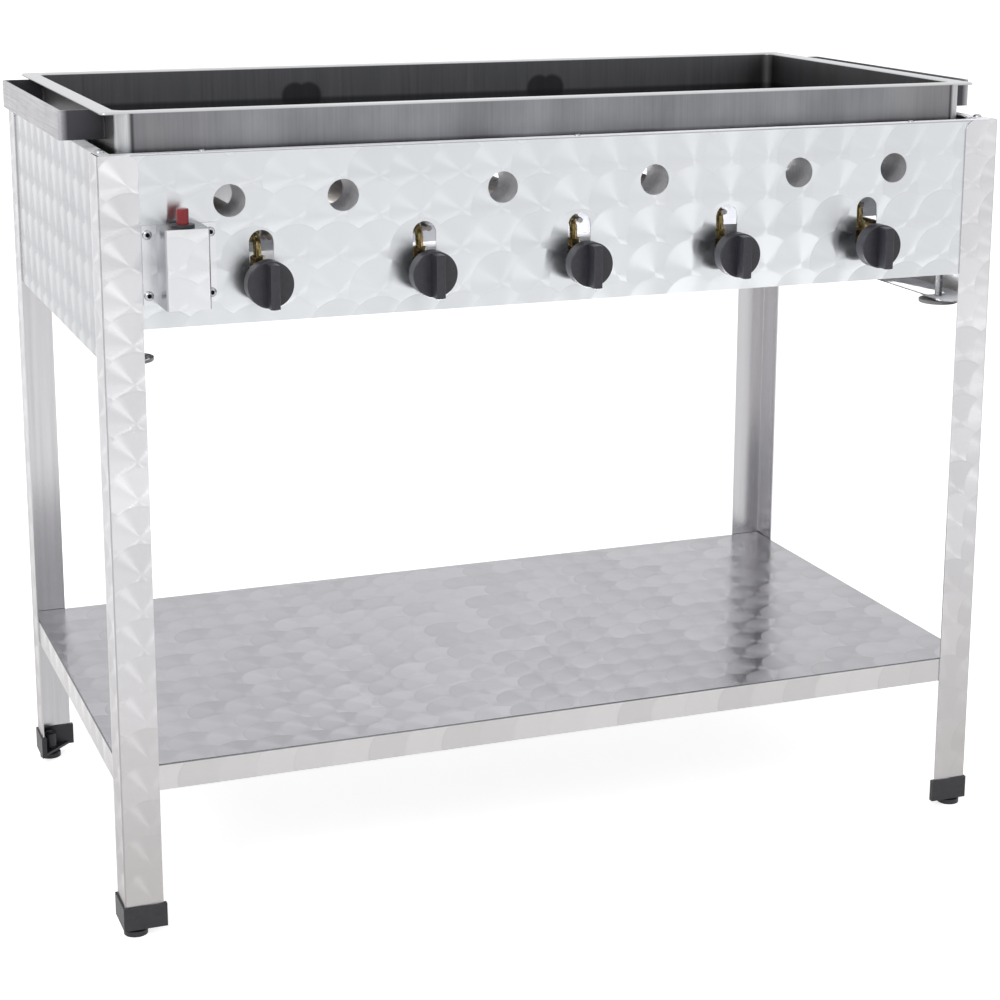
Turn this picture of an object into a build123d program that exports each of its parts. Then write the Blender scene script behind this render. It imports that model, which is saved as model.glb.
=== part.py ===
"""A gas griddle: a steel pan over five burners in a sheet steel box, on four angle legs with a shelf."""

import os

from build123d import *

# Overall frame, measured over the legs, with the height of the box's top edge above the floor
FRAME_WIDTH = 1000.0
FRAME_DEPTH = 540.0
BOX_TOP = 810.0

# Legs: folded angles with a rounded top corner on each flange
LEG_SHEET = 1.5
LEG_FLANGE = 40.0
LEG_BEND = 2.0
LEG_TOP_ROUND = 12.0

# Corner shoes and levelling feet
SHOE_WALL = 2.2
SHOE_LINER = 2.0
SHOE_HEIGHT = 25.0
SHOE_FLOOR = 3.0
SHOE_END = 3.4
SHOE_POCKET_PLAY = 0.2
SHOE_EDGE = 2.0
BOSS_INSET = 12.5
BOSS_RADIUS = 8.0
BOSS_HEIGHT = 21.0
FOOT_PAD_RADIUS = 12.5
FOOT_PAD_HEIGHT = 6.0
FOOT_PAD_EDGE = 1.5
FOOT_HUB_RADIUS = 7.0
FOOT_HUB_HEIGHT = 2.7
FOOT_SCREW_RADIUS = 4.0
FOOT_SCREW_TIP = 2.0
SHOE_CLEARANCE = 0.3

# Shelf: an upside-down tray between the legs
SHELF_TOP = 186.0
SHELF_LIP = 28.0
SHELF_SHEET = 1.2
SHELF_BEND = 2.0

# Burner box: four folded panels
PANEL_SHEET = 1.2
PANEL_BEND = 1.8
FRONT_HEIGHT = 171.0
SIDE_HEIGHT = 205.0
TOP_FLANGE = 14.0
FRONT_HEM = 10.0
SIDE_FLOOR = 48.0
CORNER_GAP = 0.3
BEND_ROOM = 1.0
CORNER_TAB = 26.0
FLOOR_CHAMFER = 10.0
FLOOR_CUT_START = 57.0
FLOOR_CUT_LENGTH = 91.0
FLOOR_CUT_RIB = 4.0
FLOOR_CUT_WIDE = 29.0
FLOOR_CUT_NARROW = 8.0
FLOOR_CUT_ROUND = 3.5

# Air holes: a row in the front panel, and the inner ones again low in the rear panel
AIR_HOLE_RADIUS = 16.2
AIR_HOLE_BELOW_TOP = 48.5
REAR_HOLE_BELOW_TOP = 140.0
OUTER_HOLE_OFFSET = 31.0

# Taps, knobs and the slots behind them
TAP_COUNT = 5
TAP_MARGIN = 160.0
TAP_BELOW_TOP = 128.5
SLOT_WIDTH = 25.0
SLOT_ABOVE_TAP = 49.5
SLOT_BELOW_TAP = 13.5
TAP_WIDTH = 22.0
TAP_HEIGHT = 26.0
TAP_DEPTH = 22.0
TAP_SETBACK = 4.0
TAP_NECK_RADIUS = 7.0
TAP_NECK_LENGTH = 14.0
TAP_ROUND = 3.0
STEM_RADIUS = 4.0
STEM_CLEARANCE = 0.05
STEM_IN_TAP = 4.0
STEM_IN_KNOB = 12.0
PUSH_TRAVEL = 4.0
PLUNGER_LENGTH = 6.0
PLUNGER_GAP = 0.3
PLUNGER_END_PLAY = 1.0
KNOB_RADIUS = 23.5
KNOB_DEPTH = 15.0
KNOB_WALL = 2.5
KNOB_HUB_RADIUS = 8.0
KNOB_STANDOFF = 20.0
KNOB_BAR_WIDTH = 9.5
KNOB_BAR_HEIGHT = 17.0
KNOB_EDGE = 1.2

# Gas manifold, its brackets and the inlet pipe that leaves through the rear panel
MANIFOLD_RADIUS = 8.0
MANIFOLD_WALL = 1.8
MANIFOLD_REACH = 62.0
BRACKET_WIDTH = 24.0
BRACKET_SHEET = 2.0
BRACKET_TAB = 16.0
NIPPLE_RADIUS = 4.5
NIPPLE_PLAY = 0.1
INLET_THREAD_RADIUS = 6.58
INLET_THREAD_LENGTH = 12.0
INLET_HEX = 17.0
INLET_HEX_LENGTH = 7.0
INLET_PIPE_RADIUS = 6.5
INLET_NECK_RADIUS = 7.5
INLET_NECK_PLAY = 0.1
INLET_NUT_LENGTH = 4.0

# Burners, their carrier, the injectors and the brass tubes that feed them
BURNER_BELOW_TOP = 88.0
BURNER_RADIUS = 15.0
BURNER_WALL = 1.5
BURNER_MOUTH_RADIUS = 13.0
BURNER_THROAT_RADIUS = 9.0
BURNER_MOUTH_AT = 52.0
BURNER_MOUTH_LENGTH = 6.0
BURNER_CONE = 18.0
BURNER_THROAT_LENGTH = 22.0
BURNER_TAIL = 34.0
BURNER_TAIL_RADIUS = 6.0
BURNER_STUD_RADIUS = 2.5
BURNER_NUT = 8.0
BURNER_NUT_HEIGHT = 3.0
PORT_COUNT = 14
PORT_WIDTH = 3.0
PORT_LENGTH = 16.0
PORT_MARGIN = 30.0
CARRIER_SHEET = 1.5
CARRIER_HEIGHT = 28.0
CARRIER_RETURN = 12.0
CARRIER_TAB = 16.0
NOTCH_PLAY = 0.2
GAS_TUBE_RADIUS = 4.0
GAS_TUBE_BEND = 12.0
GAS_NUT = 13.0
GAS_NUT_HEIGHT = 8.0
INJECTOR_HEX = 12.0
INJECTOR_LENGTH = 11.0
INJECTOR_TIP_RADIUS = 3.5
INJECTOR_TIP_LENGTH = 5.0
INJECTOR_GAP = 0.4
SENSOR_RADIUS = 3.0
SENSOR_TIP_RADIUS = 2.0
SENSOR_LENGTH = 20.0
SENSOR_TIP_LENGTH = 26.0
SENSOR_OFFSET = 21.0
SENSOR_PLAY = 0.1
SENSOR_HEX = 9.0
SENSOR_HEX_LENGTH = 5.0

# Igniter on the left of the front panel
IGNITER_INSET = 77.5
IGNITER_WIDTH = 44.0
IGNITER_DEPTH = 40.0
IGNITER_HEIGHT = 78.5
IGNITER_BELOW_TOP = 68.5
IGNITER_SHEET = 1.2
IGNITER_FLANGE = 14.5
IGNITER_BEND = 2.4
SCREW_SPACING_X = 62.5
SCREW_SPACING_Z = 60.0
SCREW_RADIUS = 2.0
SCREW_PLAY = 0.1
SCREW_LENGTH = 7.0
SCREW_HEAD_RADIUS = 4.8
SCREW_HEAD_HEIGHT = 3.0
PIEZO_RADIUS = 9.0
PIEZO_LENGTH = 52.0
PIEZO_COLLAR_RADIUS = 11.5
PIEZO_COLLAR_HEIGHT = 2.6
BUTTON_RADIUS = 6.0
BUTTON_CLEARANCE = 0.08
BUTTON_RISE = 15.0
BUTTON_SUNK = 14.0
BUTTON_TRAVEL = 8.0
BUTTON_EDGE = 1.0
BUTTON_END_PLAY = 1.0
LEAD_RADIUS = 2.0
LEAD_DROP = 14.0
LEAD_BEND = 9.0
LEAD_HOLE_RADIUS = 5.0
LEAD_STANDOFF = 14.0
LEAD_END_RUN = 14.0
ELECTRODE_RADIUS = 3.5
ELECTRODE_LENGTH = 38.0
ELECTRODE_FRONT = 16.0
ELECTRODE_WIRE_RADIUS = 1.2
ELECTRODE_WIRE_LENGTH = 24.0

# Pan: a welded tray whose rim folds outward, with a skirt down its long sides and a lip at its ends
PAN_END_INSET = 29.0
PAN_SIDE_INSET = 49.5
PAN_DEPTH = 65.0
PAN_SHEET = 2.5
PAN_ABOVE_BOX = 38.0
PAN_RIM = 17.0
PAN_END_LIP = 15.0
PAN_SKIRT = 50.0
PAN_CORNER = 12.0
PAN_SKIRT_CORNER = 15.0
PAN_RIM_CORNER = 6.0
PAN_FLOOR_BEND = 8.0
PAN_RIM_BEND = 2.0
PAN_SEAT_GAP = 0.3
HANDLE_LENGTH = 358.0
HANDLE_HEIGHT = 29.5
HANDLE_SHEET = 3.0
HANDLE_REACH = 30.5
HANDLE_BEND = 3.6

# Rests on the side panels that carry the pan
REST_WIDTH = 46.0
REST_HEIGHT = 25.0
REST_SHEET = 2.0
REST_LENGTH = 420.0

# Studs and nuts that hold the legs to the box and the shelf
STUD_RADIUS = 3.0
STUD_PLAY = 0.2
STUD_INSET = 20.0
STUD_TIP = 1.5
NUT_WIDTH = 10.0
NUT_HEIGHT = 5.0
FRONT_STUD_BELOW_TOP = 85.0
SIDE_STUD_BELOW_TOP = 62.0

# Short feet under the box, left from its use on a table
BOX_FOOT_INSET_X = 36.5
BOX_FOOT_INSET_Y = 47.0
BOX_FOOT_PAD_RADIUS = 22.0
BOX_FOOT_PAD_HEIGHT = 4.0
BOX_FOOT_SCREW_RADIUS = 4.0
BOX_FOOT_SCREW_LENGTH = 44.0
BOX_FOOT_NUT = 13.0
BOX_FOOT_NUT_HEIGHT = 2.0

# Heights and depths that follow from the sizes above
X_LEFT = -FRAME_WIDTH / 2
FRONT_REACH = max(IGNITER_DEPTH, KNOB_STANDOFF + KNOB_DEPTH + KNOB_BAR_HEIGHT) - LEG_SHEET
REAR_REACH = max(SHOE_WALL, INLET_NUT_LENGTH + INLET_THREAD_LENGTH - LEG_SHEET)
Y_FRONT = (FRONT_REACH - FRAME_DEPTH - REAR_REACH) / 2
Y_REAR = Y_FRONT + FRAME_DEPTH
Y_MIDDLE = (Y_FRONT + Y_REAR) / 2
SHOE_BOTTOM = FOOT_PAD_HEIGHT + FOOT_HUB_HEIGHT + SHOE_CLEARANCE
LEG_BOTTOM = SHOE_BOTTOM + SHOE_FLOOR
X_PANEL = X_LEFT + LEG_SHEET
Y_PANEL = Y_FRONT + LEG_SHEET
X_INSIDE = X_PANEL + PANEL_SHEET
Y_INSIDE = Y_PANEL + PANEL_SHEET
Y_REAR_PANEL = Y_REAR - LEG_SHEET
Y_REAR_INSIDE = Y_REAR_PANEL - PANEL_SHEET
FRONT_BOTTOM = BOX_TOP - FRONT_HEIGHT
SIDE_BOTTOM = BOX_TOP - SIDE_HEIGHT
TAP_SPACING = (FRAME_WIDTH - 2 * TAP_MARGIN) / (TAP_COUNT - 1)
TAP_X = [X_LEFT + TAP_MARGIN + TAP_SPACING * i for i in range(TAP_COUNT)]
TAP_Z = BOX_TOP - TAP_BELOW_TOP
TAP_FRONT = Y_INSIDE + TAP_SETBACK
TAP_MIDDLE = TAP_FRONT + TAP_DEPTH / 2
BURNER_Z = BOX_TOP - BURNER_BELOW_TOP
BURNER_FRONT = Y_FRONT + BURNER_MOUTH_AT
THROAT_FRONT = BURNER_FRONT + BURNER_MOUTH_LENGTH
CARRIER_Y = THROAT_FRONT + BURNER_THROAT_LENGTH / 2
CARRIER_TOP = BURNER_Z + BURNER_THROAT_RADIUS / 2
CARRIER_BOTTOM = CARRIER_TOP - CARRIER_HEIGHT
MANIFOLD_Y = TAP_FRONT + TAP_DEPTH + MANIFOLD_RADIUS
MANIFOLD_HALF = TAP_X[-1] + MANIFOLD_REACH
INLET_X = MANIFOLD_HALF + MANIFOLD_RADIUS
RIM_TOP = BOX_TOP + PAN_ABOVE_BOX
PAN_BOTTOM = RIM_TOP - PAN_DEPTH - PAN_SHEET
REST_TOP = PAN_BOTTOM - PAN_SEAT_GAP
PAN_LENGTH = FRAME_WIDTH - 2 * PAN_END_INSET
PAN_WIDTH = FRAME_DEPTH - 2 * PAN_SIDE_INSET
PAN_END = PAN_LENGTH / 2 + PAN_SHEET
IGNITER_X = X_LEFT + IGNITER_INSET
IGNITER_TOP = BOX_TOP - IGNITER_BELOW_TOP
IGNITER_BOTTOM = IGNITER_TOP - IGNITER_HEIGHT
IGNITER_FRONT = Y_PANEL - IGNITER_DEPTH
PIEZO_Y = Y_PANEL - IGNITER_DEPTH / 2
SENSOR_Z = (CARRIER_TOP + CARRIER_BOTTOM) / 2 + SENSOR_RADIUS


def block(x, y, z):
    """A box between two limits along each axis."""
    size = [pair[1] - pair[0] for pair in (x, y, z)]
    middle = [(pair[0] + pair[1]) / 2 for pair in (x, y, z)]
    return Pos(*middle) * Box(*size)


def rod_x(x, y, z, radius):
    """A round bar along X between two limits."""
    return Pos((x[0] + x[1]) / 2, y, z) * Rot(0, 90, 0) * Cylinder(radius, x[1] - x[0])


def rod_y(x, y, z, radius):
    """A round bar along Y between two limits."""
    return Pos(x, (y[0] + y[1]) / 2, z) * Rot(90, 0, 0) * Cylinder(radius, y[1] - y[0])


def rod_z(x, y, z, radius):
    """A round bar along Z between two limits."""
    return Pos(x, y, (z[0] + z[1]) / 2) * Cylinder(radius, z[1] - z[0])


def hexagon(width):
    """A hexagon by its width across flats."""
    return RegularPolygon(width / 2, 6, major_radius=False)


def hex_x(x, y, z, width):
    """A hexagonal bar along X between two limits."""
    return extrude(Plane(origin=(x[0], y, z), x_dir=(0, 1, 0), z_dir=(1, 0, 0)) * hexagon(width), x[1] - x[0])


def hex_y(x, y, z, width):
    """A hexagonal bar along Y between two limits."""
    return extrude(Plane(origin=(x, y[0], z), x_dir=(1, 0, 0), z_dir=(0, 1, 0)) * hexagon(width), y[1] - y[0])


def hex_z(x, y, z, width):
    """A hexagonal bar along Z between two limits."""
    return extrude(Plane(origin=(x, y, z[0])) * hexagon(width), z[1] - z[0])


def edges_at(solid, axis, **place):
    """The edges of a solid along one axis whose middle has the given coordinates."""
    def fits(edge):
        middle = edge.center()
        return all(abs(getattr(middle, name) - value) < 0.01 for name, value in place.items())

    return solid.edges().filter_by(axis).filter_by(fits)


def to_right(solid):
    """The mirror image on the right-hand side."""
    return mirror(solid, about=Plane.YZ)


def to_rear(solid):
    """The mirror image at the rear, about the middle of the frame's depth."""
    return mirror(solid, about=Plane(origin=(0, Y_MIDDLE, 0), z_dir=(0, 1, 0)))


def at_corners(solid):
    """A front left piece and its images at the other three corners, by name."""
    return {
        "front_left": solid,
        "front_right": to_right(solid),
        "rear_left": to_rear(solid),
        "rear_right": to_rear(to_right(solid)),
    }


def group(solids):
    """Separate solids that share one node."""
    return Compound(children=list(solids))


def leg():
    """The front left leg: a folded angle, open towards the inside."""
    outside = (X_LEFT, X_LEFT + LEG_FLANGE), (Y_FRONT, Y_FRONT + LEG_FLANGE), (LEG_BOTTOM, BOX_TOP)
    body = block(*outside)
    body = fillet(edges_at(body, Axis.Z, X=X_LEFT, Y=Y_FRONT), LEG_BEND)
    hollow = block(
        (X_PANEL, X_LEFT + LEG_FLANGE + LEG_SHEET),
        (Y_PANEL, Y_FRONT + LEG_FLANGE + LEG_SHEET),
        (LEG_BOTTOM - LEG_SHEET, BOX_TOP + LEG_SHEET),
    )
    hollow = fillet(edges_at(hollow, Axis.Z, X=X_PANEL, Y=Y_PANEL), max(LEG_BEND - LEG_SHEET, 0.2))
    body -= hollow
    body = fillet(edges_at(body, Axis.Y, X=X_LEFT + LEG_FLANGE, Z=BOX_TOP), LEG_TOP_ROUND)
    return fillet(edges_at(body, Axis.X, Y=Y_FRONT + LEG_FLANGE, Z=BOX_TOP), LEG_TOP_ROUND)


def corner_shoe():
    """The front left shoe: an angled pocket for the leg, a triangular floor and a boss for the foot."""
    reach = LEG_FLANGE + SHOE_END
    inner = LEG_SHEET + SHOE_POCKET_PLAY + SHOE_LINER
    top = SHOE_BOTTOM + SHOE_HEIGHT
    corner = Pos(X_LEFT, Y_FRONT, SHOE_BOTTOM)
    outline = Polyline(
        (-SHOE_WALL, -SHOE_WALL),
        (reach, -SHOE_WALL),
        (reach, inner),
        (inner, inner),
        (inner, reach),
        (-SHOE_WALL, reach),
        close=True,
    )
    body = corner * extrude(make_face(outline), SHOE_HEIGHT)
    floor = Polyline((-SHOE_WALL, -SHOE_WALL), (reach, -SHOE_WALL), (-SHOE_WALL, reach), close=True)
    body += corner * extrude(make_face(floor), SHOE_FLOOR)
    boss_x = X_LEFT + BOSS_INSET
    boss_y = Y_FRONT + BOSS_INSET
    body += rod_z(boss_x, boss_y, (SHOE_BOTTOM, SHOE_BOTTOM + BOSS_HEIGHT), BOSS_RADIUS)
    play = SHOE_POCKET_PLAY
    pocket = block(
        (X_LEFT, X_LEFT + LEG_FLANGE + play), (Y_FRONT, Y_PANEL + play), (LEG_BOTTOM, top + play)
    )
    pocket += block(
        (X_LEFT, X_PANEL + play), (Y_FRONT, Y_FRONT + LEG_FLANGE + play), (LEG_BOTTOM, top + play)
    )
    body -= pocket
    body -= rod_z(boss_x, boss_y, (0, top), FOOT_SCREW_RADIUS + STEM_CLEARANCE)
    return fillet(edges_at(body, Axis.Z, X=X_LEFT - SHOE_WALL, Y=Y_FRONT - SHOE_WALL), SHOE_EDGE)


def levelling_foot():
    """The front left foot: a round pad under a hub and a screw that turns in the shoe's boss."""
    x = X_LEFT + BOSS_INSET
    y = Y_FRONT + BOSS_INSET
    pad = rod_z(x, y, (0, FOOT_PAD_HEIGHT), FOOT_PAD_RADIUS)
    pad = fillet(pad.edges().group_by(Axis.Z)[-1], FOOT_PAD_EDGE)
    hub_top = FOOT_PAD_HEIGHT + FOOT_HUB_HEIGHT
    screw_top = SHOE_BOTTOM + BOSS_HEIGHT + FOOT_SCREW_TIP
    return (
        pad
        + rod_z(x, y, (FOOT_PAD_HEIGHT, hub_top), FOOT_HUB_RADIUS)
        + rod_z(x, y, (hub_top, screw_top), FOOT_SCREW_RADIUS)
    )


def shelf():
    """The shelf: a sheet with a lip folded down along each side, which fits inside the four legs."""
    x = (X_PANEL, -X_PANEL)
    y = (Y_PANEL, Y_REAR_PANEL)
    body = block(x, y, (SHELF_TOP - SHELF_LIP, SHELF_TOP))
    body = fillet(body.edges().filter_by(Axis.Z), SHELF_BEND)
    body = fillet(body.faces().sort_by(Axis.Z)[-1].edges(), SHELF_BEND - SHELF_SHEET / 4)
    inside = block(
        (x[0] + SHELF_SHEET, x[1] - SHELF_SHEET),
        (y[0] + SHELF_SHEET, y[1] - SHELF_SHEET),
        (SHELF_TOP - SHELF_LIP - SHELF_SHEET, SHELF_TOP - SHELF_SHEET),
    )
    body -= inside
    z = SHELF_TOP - SHELF_LIP / 2
    stud_x = X_LEFT + STUD_INSET
    for row in stud_rows():
        body -= rod_x((X_LEFT, -X_LEFT), row, z, STUD_RADIUS + STUD_PLAY)
    for column in (stud_x, -stud_x):
        body -= rod_y(column, (Y_FRONT, Y_REAR), z, STUD_RADIUS + STUD_PLAY)
    return body


def stud_rows():
    """The two places along Y of the studs in the legs' side flanges."""
    return Y_FRONT + STUD_INSET, Y_REAR - STUD_INSET


def air_hole_places():
    """The air holes' places along X: one between each pair of taps and one outside each end tap."""
    between = [(left + right) / 2 for left, right in zip(TAP_X, TAP_X[1:])]
    return [TAP_X[0] - OUTER_HOLE_OFFSET, *between, TAP_X[-1] + OUTER_HOLE_OFFSET]


def slot_cutter(x):
    """A slot with round ends, through the front panel behind one knob."""
    depth = (Y_FRONT, Y_INSIDE + FRONT_HEM)
    radius = SLOT_WIDTH / 2
    top = TAP_Z + SLOT_ABOVE_TAP - radius
    bottom = TAP_Z - SLOT_BELOW_TAP + radius
    ends = rod_y(x, depth, top, radius) + rod_y(x, depth, bottom, radius)
    return ends + block((x - radius, x + radius), depth, (bottom, top))


def folded_wall(bottom):
    """A wall along X at the front, with a flange folded in along the top and a hem along the bottom."""
    x = (X_PANEL + BEND_ROOM, -X_PANEL - BEND_ROOM)
    hem_x = (X_INSIDE + CORNER_GAP, -X_INSIDE - CORNER_GAP)
    wall = block(x, (Y_PANEL, Y_INSIDE), (bottom, BOX_TOP))
    wall += block(x, (Y_PANEL, Y_PANEL + TOP_FLANGE), (BOX_TOP - PANEL_SHEET, BOX_TOP))
    wall += block(hem_x, (Y_PANEL, Y_PANEL + FRONT_HEM), (bottom, bottom + PANEL_SHEET))
    wall = fillet(edges_at(wall, Axis.X, Y=Y_PANEL, Z=BOX_TOP), PANEL_BEND)
    tab_top = BOX_TOP - PANEL_SHEET
    tab = block(
        (X_INSIDE + CORNER_GAP, X_PANEL + TOP_FLANGE),
        (Y_INSIDE, Y_PANEL + TOP_FLANGE + CORNER_TAB),
        (tab_top - PANEL_SHEET, tab_top),
    )
    for side in (tab, to_right(tab)):
        wall += side
    for x_spot in (X_LEFT + STUD_INSET, -X_LEFT - STUD_INSET):
        wall -= rod_y(x_spot, (Y_FRONT, Y_INSIDE), BOX_TOP - FRONT_STUD_BELOW_TOP, STUD_RADIUS + STUD_PLAY)
    for screw in flange_screw_places():
        wall -= rod_z(*screw, (tab_top - 2 * PANEL_SHEET, BOX_TOP), SCREW_RADIUS + SCREW_PLAY)
    return wall


def flange_screw_places():
    """The front flange screws' places: one in each corner tab, through the side panel's flange."""
    x = X_PANEL + TOP_FLANGE / 2
    y = Y_PANEL + TOP_FLANGE + CORNER_TAB / 2
    return [(x, y), (-x, y)]


def front_panel():
    """The front panel, with its air holes, tap slots, igniter screw holes and ignition lead hole."""
    wall = folded_wall(FRONT_BOTTOM)
    through = (Y_FRONT, Y_INSIDE + LEG_SHEET)
    for x in air_hole_places():
        wall -= rod_y(x, through, BOX_TOP - AIR_HOLE_BELOW_TOP, AIR_HOLE_RADIUS)
    for x in TAP_X:
        wall -= slot_cutter(x)
    for x, z in igniter_screw_places():
        wall -= rod_y(x, through, z, SCREW_RADIUS + SCREW_PLAY)
    wall -= rod_y(IGNITER_X, through, lead_height(), LEAD_HOLE_RADIUS)
    return wall


def rear_panel():
    """The rear panel, with low air holes, a hole for each burner's stud and one for the gas inlet."""
    wall = to_rear(folded_wall(SIDE_BOTTOM))
    through = (Y_REAR_INSIDE - LEG_SHEET, Y_REAR)
    for x in air_hole_places()[1:-1]:
        wall -= rod_y(x, through, BOX_TOP - REAR_HOLE_BELOW_TOP, AIR_HOLE_RADIUS)
    for x in TAP_X:
        wall -= rod_y(x, through, BURNER_Z, BURNER_STUD_RADIUS + STUD_PLAY)
    return wall - rod_y(INLET_X, through, TAP_Z, INLET_NECK_RADIUS + INLET_NECK_PLAY)


def floor_cutter():
    """A tapering opening in the left side panel's floor flange, near the front, beside its free edge."""
    rib = X_PANEL + SIDE_FLOOR - FLOOR_CUT_RIB
    start = Y_FRONT + FLOOR_CUT_START
    end = start + FLOOR_CUT_LENGTH
    outline = Polyline(
        (rib, start), (rib, end), (rib - FLOOR_CUT_NARROW, end), (rib - FLOOR_CUT_WIDE, start), close=True
    )
    face = make_face(outline)
    shape = fillet(face.vertices(), FLOOR_CUT_ROUND)
    return Pos(0, 0, SIDE_BOTTOM - PANEL_SHEET) * extrude(shape, 3 * PANEL_SHEET)


def left_panel():
    """The left panel: a flange folded in along the top and a wide floor flange along the bottom."""
    y = (Y_INSIDE, Y_REAR_INSIDE)
    flange_y = (Y_PANEL + TOP_FLANGE + CORNER_GAP, Y_REAR_PANEL - TOP_FLANGE - CORNER_GAP)
    wall = block((X_PANEL, X_INSIDE), y, (SIDE_BOTTOM, BOX_TOP))
    floor_y = (Y_PANEL + FRONT_HEM + CORNER_GAP, Y_REAR_PANEL - FRONT_HEM - CORNER_GAP)
    floor = block((X_PANEL, X_PANEL + SIDE_FLOOR), floor_y, (SIDE_BOTTOM, SIDE_BOTTOM + PANEL_SHEET))
    floor = chamfer(floor.edges().filter_by(Axis.Z).sort_by(Axis.X)[-2:], FLOOR_CHAMFER)
    wall += floor + block((X_PANEL, X_PANEL + TOP_FLANGE), flange_y, (BOX_TOP - PANEL_SHEET, BOX_TOP))
    corners = block(
        (X_PANEL - PANEL_SHEET, X_PANEL + TOP_FLANGE),
        (y[0] - PANEL_SHEET, flange_y[0]),
        (BOX_TOP - 2 * PANEL_SHEET - CORNER_GAP, BOX_TOP + PANEL_SHEET),
    )
    for cutter in (corners, floor_cutter(), box_foot_hole()):
        wall -= cutter
        wall -= to_rear(cutter)
    for row in stud_rows():
        wall -= rod_x((X_LEFT, X_INSIDE), row, BOX_TOP - SIDE_STUD_BELOW_TOP, STUD_RADIUS + STUD_PLAY)
    x, front = flange_screw_places()[0]
    for row in (front, 2 * Y_MIDDLE - front):
        wall -= rod_z(x, row, (BOX_TOP - 2 * PANEL_SHEET, BOX_TOP), SCREW_RADIUS + SCREW_PLAY)
    return wall


def box_foot_hole():
    """The hole in the floor flange for a box foot's screw."""
    place = X_LEFT + BOX_FOOT_INSET_X, Y_FRONT + BOX_FOOT_INSET_Y
    z = (SIDE_BOTTOM - PANEL_SHEET, SIDE_BOTTOM + 2 * PANEL_SHEET)
    return rod_z(*place, z, BOX_FOOT_SCREW_RADIUS + STUD_PLAY)


def box_foot():
    """The front left box foot: a pad and nut on a screw that stands up through the floor flange."""
    place = X_LEFT + BOX_FOOT_INSET_X, Y_FRONT + BOX_FOOT_INSET_Y
    nut_bottom = SIDE_BOTTOM - BOX_FOOT_NUT_HEIGHT
    pad_bottom = nut_bottom - BOX_FOOT_PAD_HEIGHT
    pad = rod_z(*place, (pad_bottom, nut_bottom), BOX_FOOT_PAD_RADIUS)
    pad = fillet(pad.edges().group_by(Axis.Z)[0], FOOT_PAD_EDGE)
    screw = rod_z(*place, (nut_bottom, nut_bottom + BOX_FOOT_SCREW_LENGTH), BOX_FOOT_SCREW_RADIUS)
    return pad + hex_z(*place, (nut_bottom, SIDE_BOTTOM), BOX_FOOT_NUT) + screw


def leg_studs():
    """The studs on the front left leg with their nuts: two at the box and two at the shelf."""
    shelf_z = SHELF_TOP - SHELF_LIP / 2
    x = X_LEFT + STUD_INSET
    y = Y_FRONT + STUD_INSET
    studs = []
    for z, sheet in ((BOX_TOP - FRONT_STUD_BELOW_TOP, PANEL_SHEET), (shelf_z, SHELF_SHEET)):
        seat = Y_PANEL + sheet
        stud = rod_y(x, (Y_PANEL, seat + NUT_HEIGHT + STUD_TIP), z, STUD_RADIUS)
        studs.append(stud + hex_y(x, (seat, seat + NUT_HEIGHT), z, NUT_WIDTH))
    for z, sheet in ((BOX_TOP - SIDE_STUD_BELOW_TOP, PANEL_SHEET), (shelf_z, SHELF_SHEET)):
        seat = X_PANEL + sheet
        stud = rod_x((X_PANEL, seat + NUT_HEIGHT + STUD_TIP), y, z, STUD_RADIUS)
        studs.append(stud + hex_x((seat, seat + NUT_HEIGHT), y, z, NUT_WIDTH))
    return studs


def screw(place, turn):
    """A round-headed screw, its head's seat at the given place, turned from pointing down."""
    head = Cylinder(SCREW_HEAD_RADIUS, SCREW_HEAD_HEIGHT, align=(Align.CENTER, Align.CENTER, Align.MIN))
    head = fillet(head.edges().group_by(Axis.Z)[-1], SCREW_HEAD_HEIGHT * 0.6)
    shank = Cylinder(SCREW_RADIUS, SCREW_LENGTH, align=(Align.CENTER, Align.CENTER, Align.MAX))
    return Pos(*place) * turn * (head + shank)


def igniter_screw_places():
    """The four igniter screws' places in the front panel."""
    middle = IGNITER_TOP - IGNITER_HEIGHT / 2
    sides = (-SCREW_SPACING_X / 2, SCREW_SPACING_X / 2)
    return [(IGNITER_X + x, middle + z) for x in sides for z in (-SCREW_SPACING_Z / 2, SCREW_SPACING_Z / 2)]


def igniter_box():
    """The igniter's cover: a folded box, open below and behind, with a flange on each side."""
    half = IGNITER_WIDTH / 2
    z = (IGNITER_BOTTOM, IGNITER_TOP)
    body = block((IGNITER_X - half, IGNITER_X + half), (IGNITER_FRONT, Y_PANEL), z)
    body = fillet(body.faces().sort_by(Axis.Y)[0].edges().filter_by(Axis.Z), IGNITER_BEND)
    inner = half - IGNITER_SHEET
    body -= block(
        (IGNITER_X - inner, IGNITER_X + inner),
        (IGNITER_FRONT + IGNITER_SHEET, Y_PANEL),
        (IGNITER_BOTTOM - IGNITER_SHEET, IGNITER_TOP - IGNITER_SHEET),
    )
    seat = (Y_PANEL - IGNITER_SHEET, Y_PANEL)
    for side in (-1, 1):
        edges = sorted((IGNITER_X + side * inner, IGNITER_X + side * (half + IGNITER_FLANGE)))
        body += block(edges, seat, z)
    for x, height in igniter_screw_places():
        body -= rod_y(x, (IGNITER_FRONT, Y_PANEL), height, SCREW_RADIUS + SCREW_PLAY)
    through = (IGNITER_TOP - PIEZO_LENGTH, IGNITER_TOP)
    return body - rod_z(IGNITER_X, PIEZO_Y, through, PIEZO_RADIUS + SCREW_PLAY)


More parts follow.
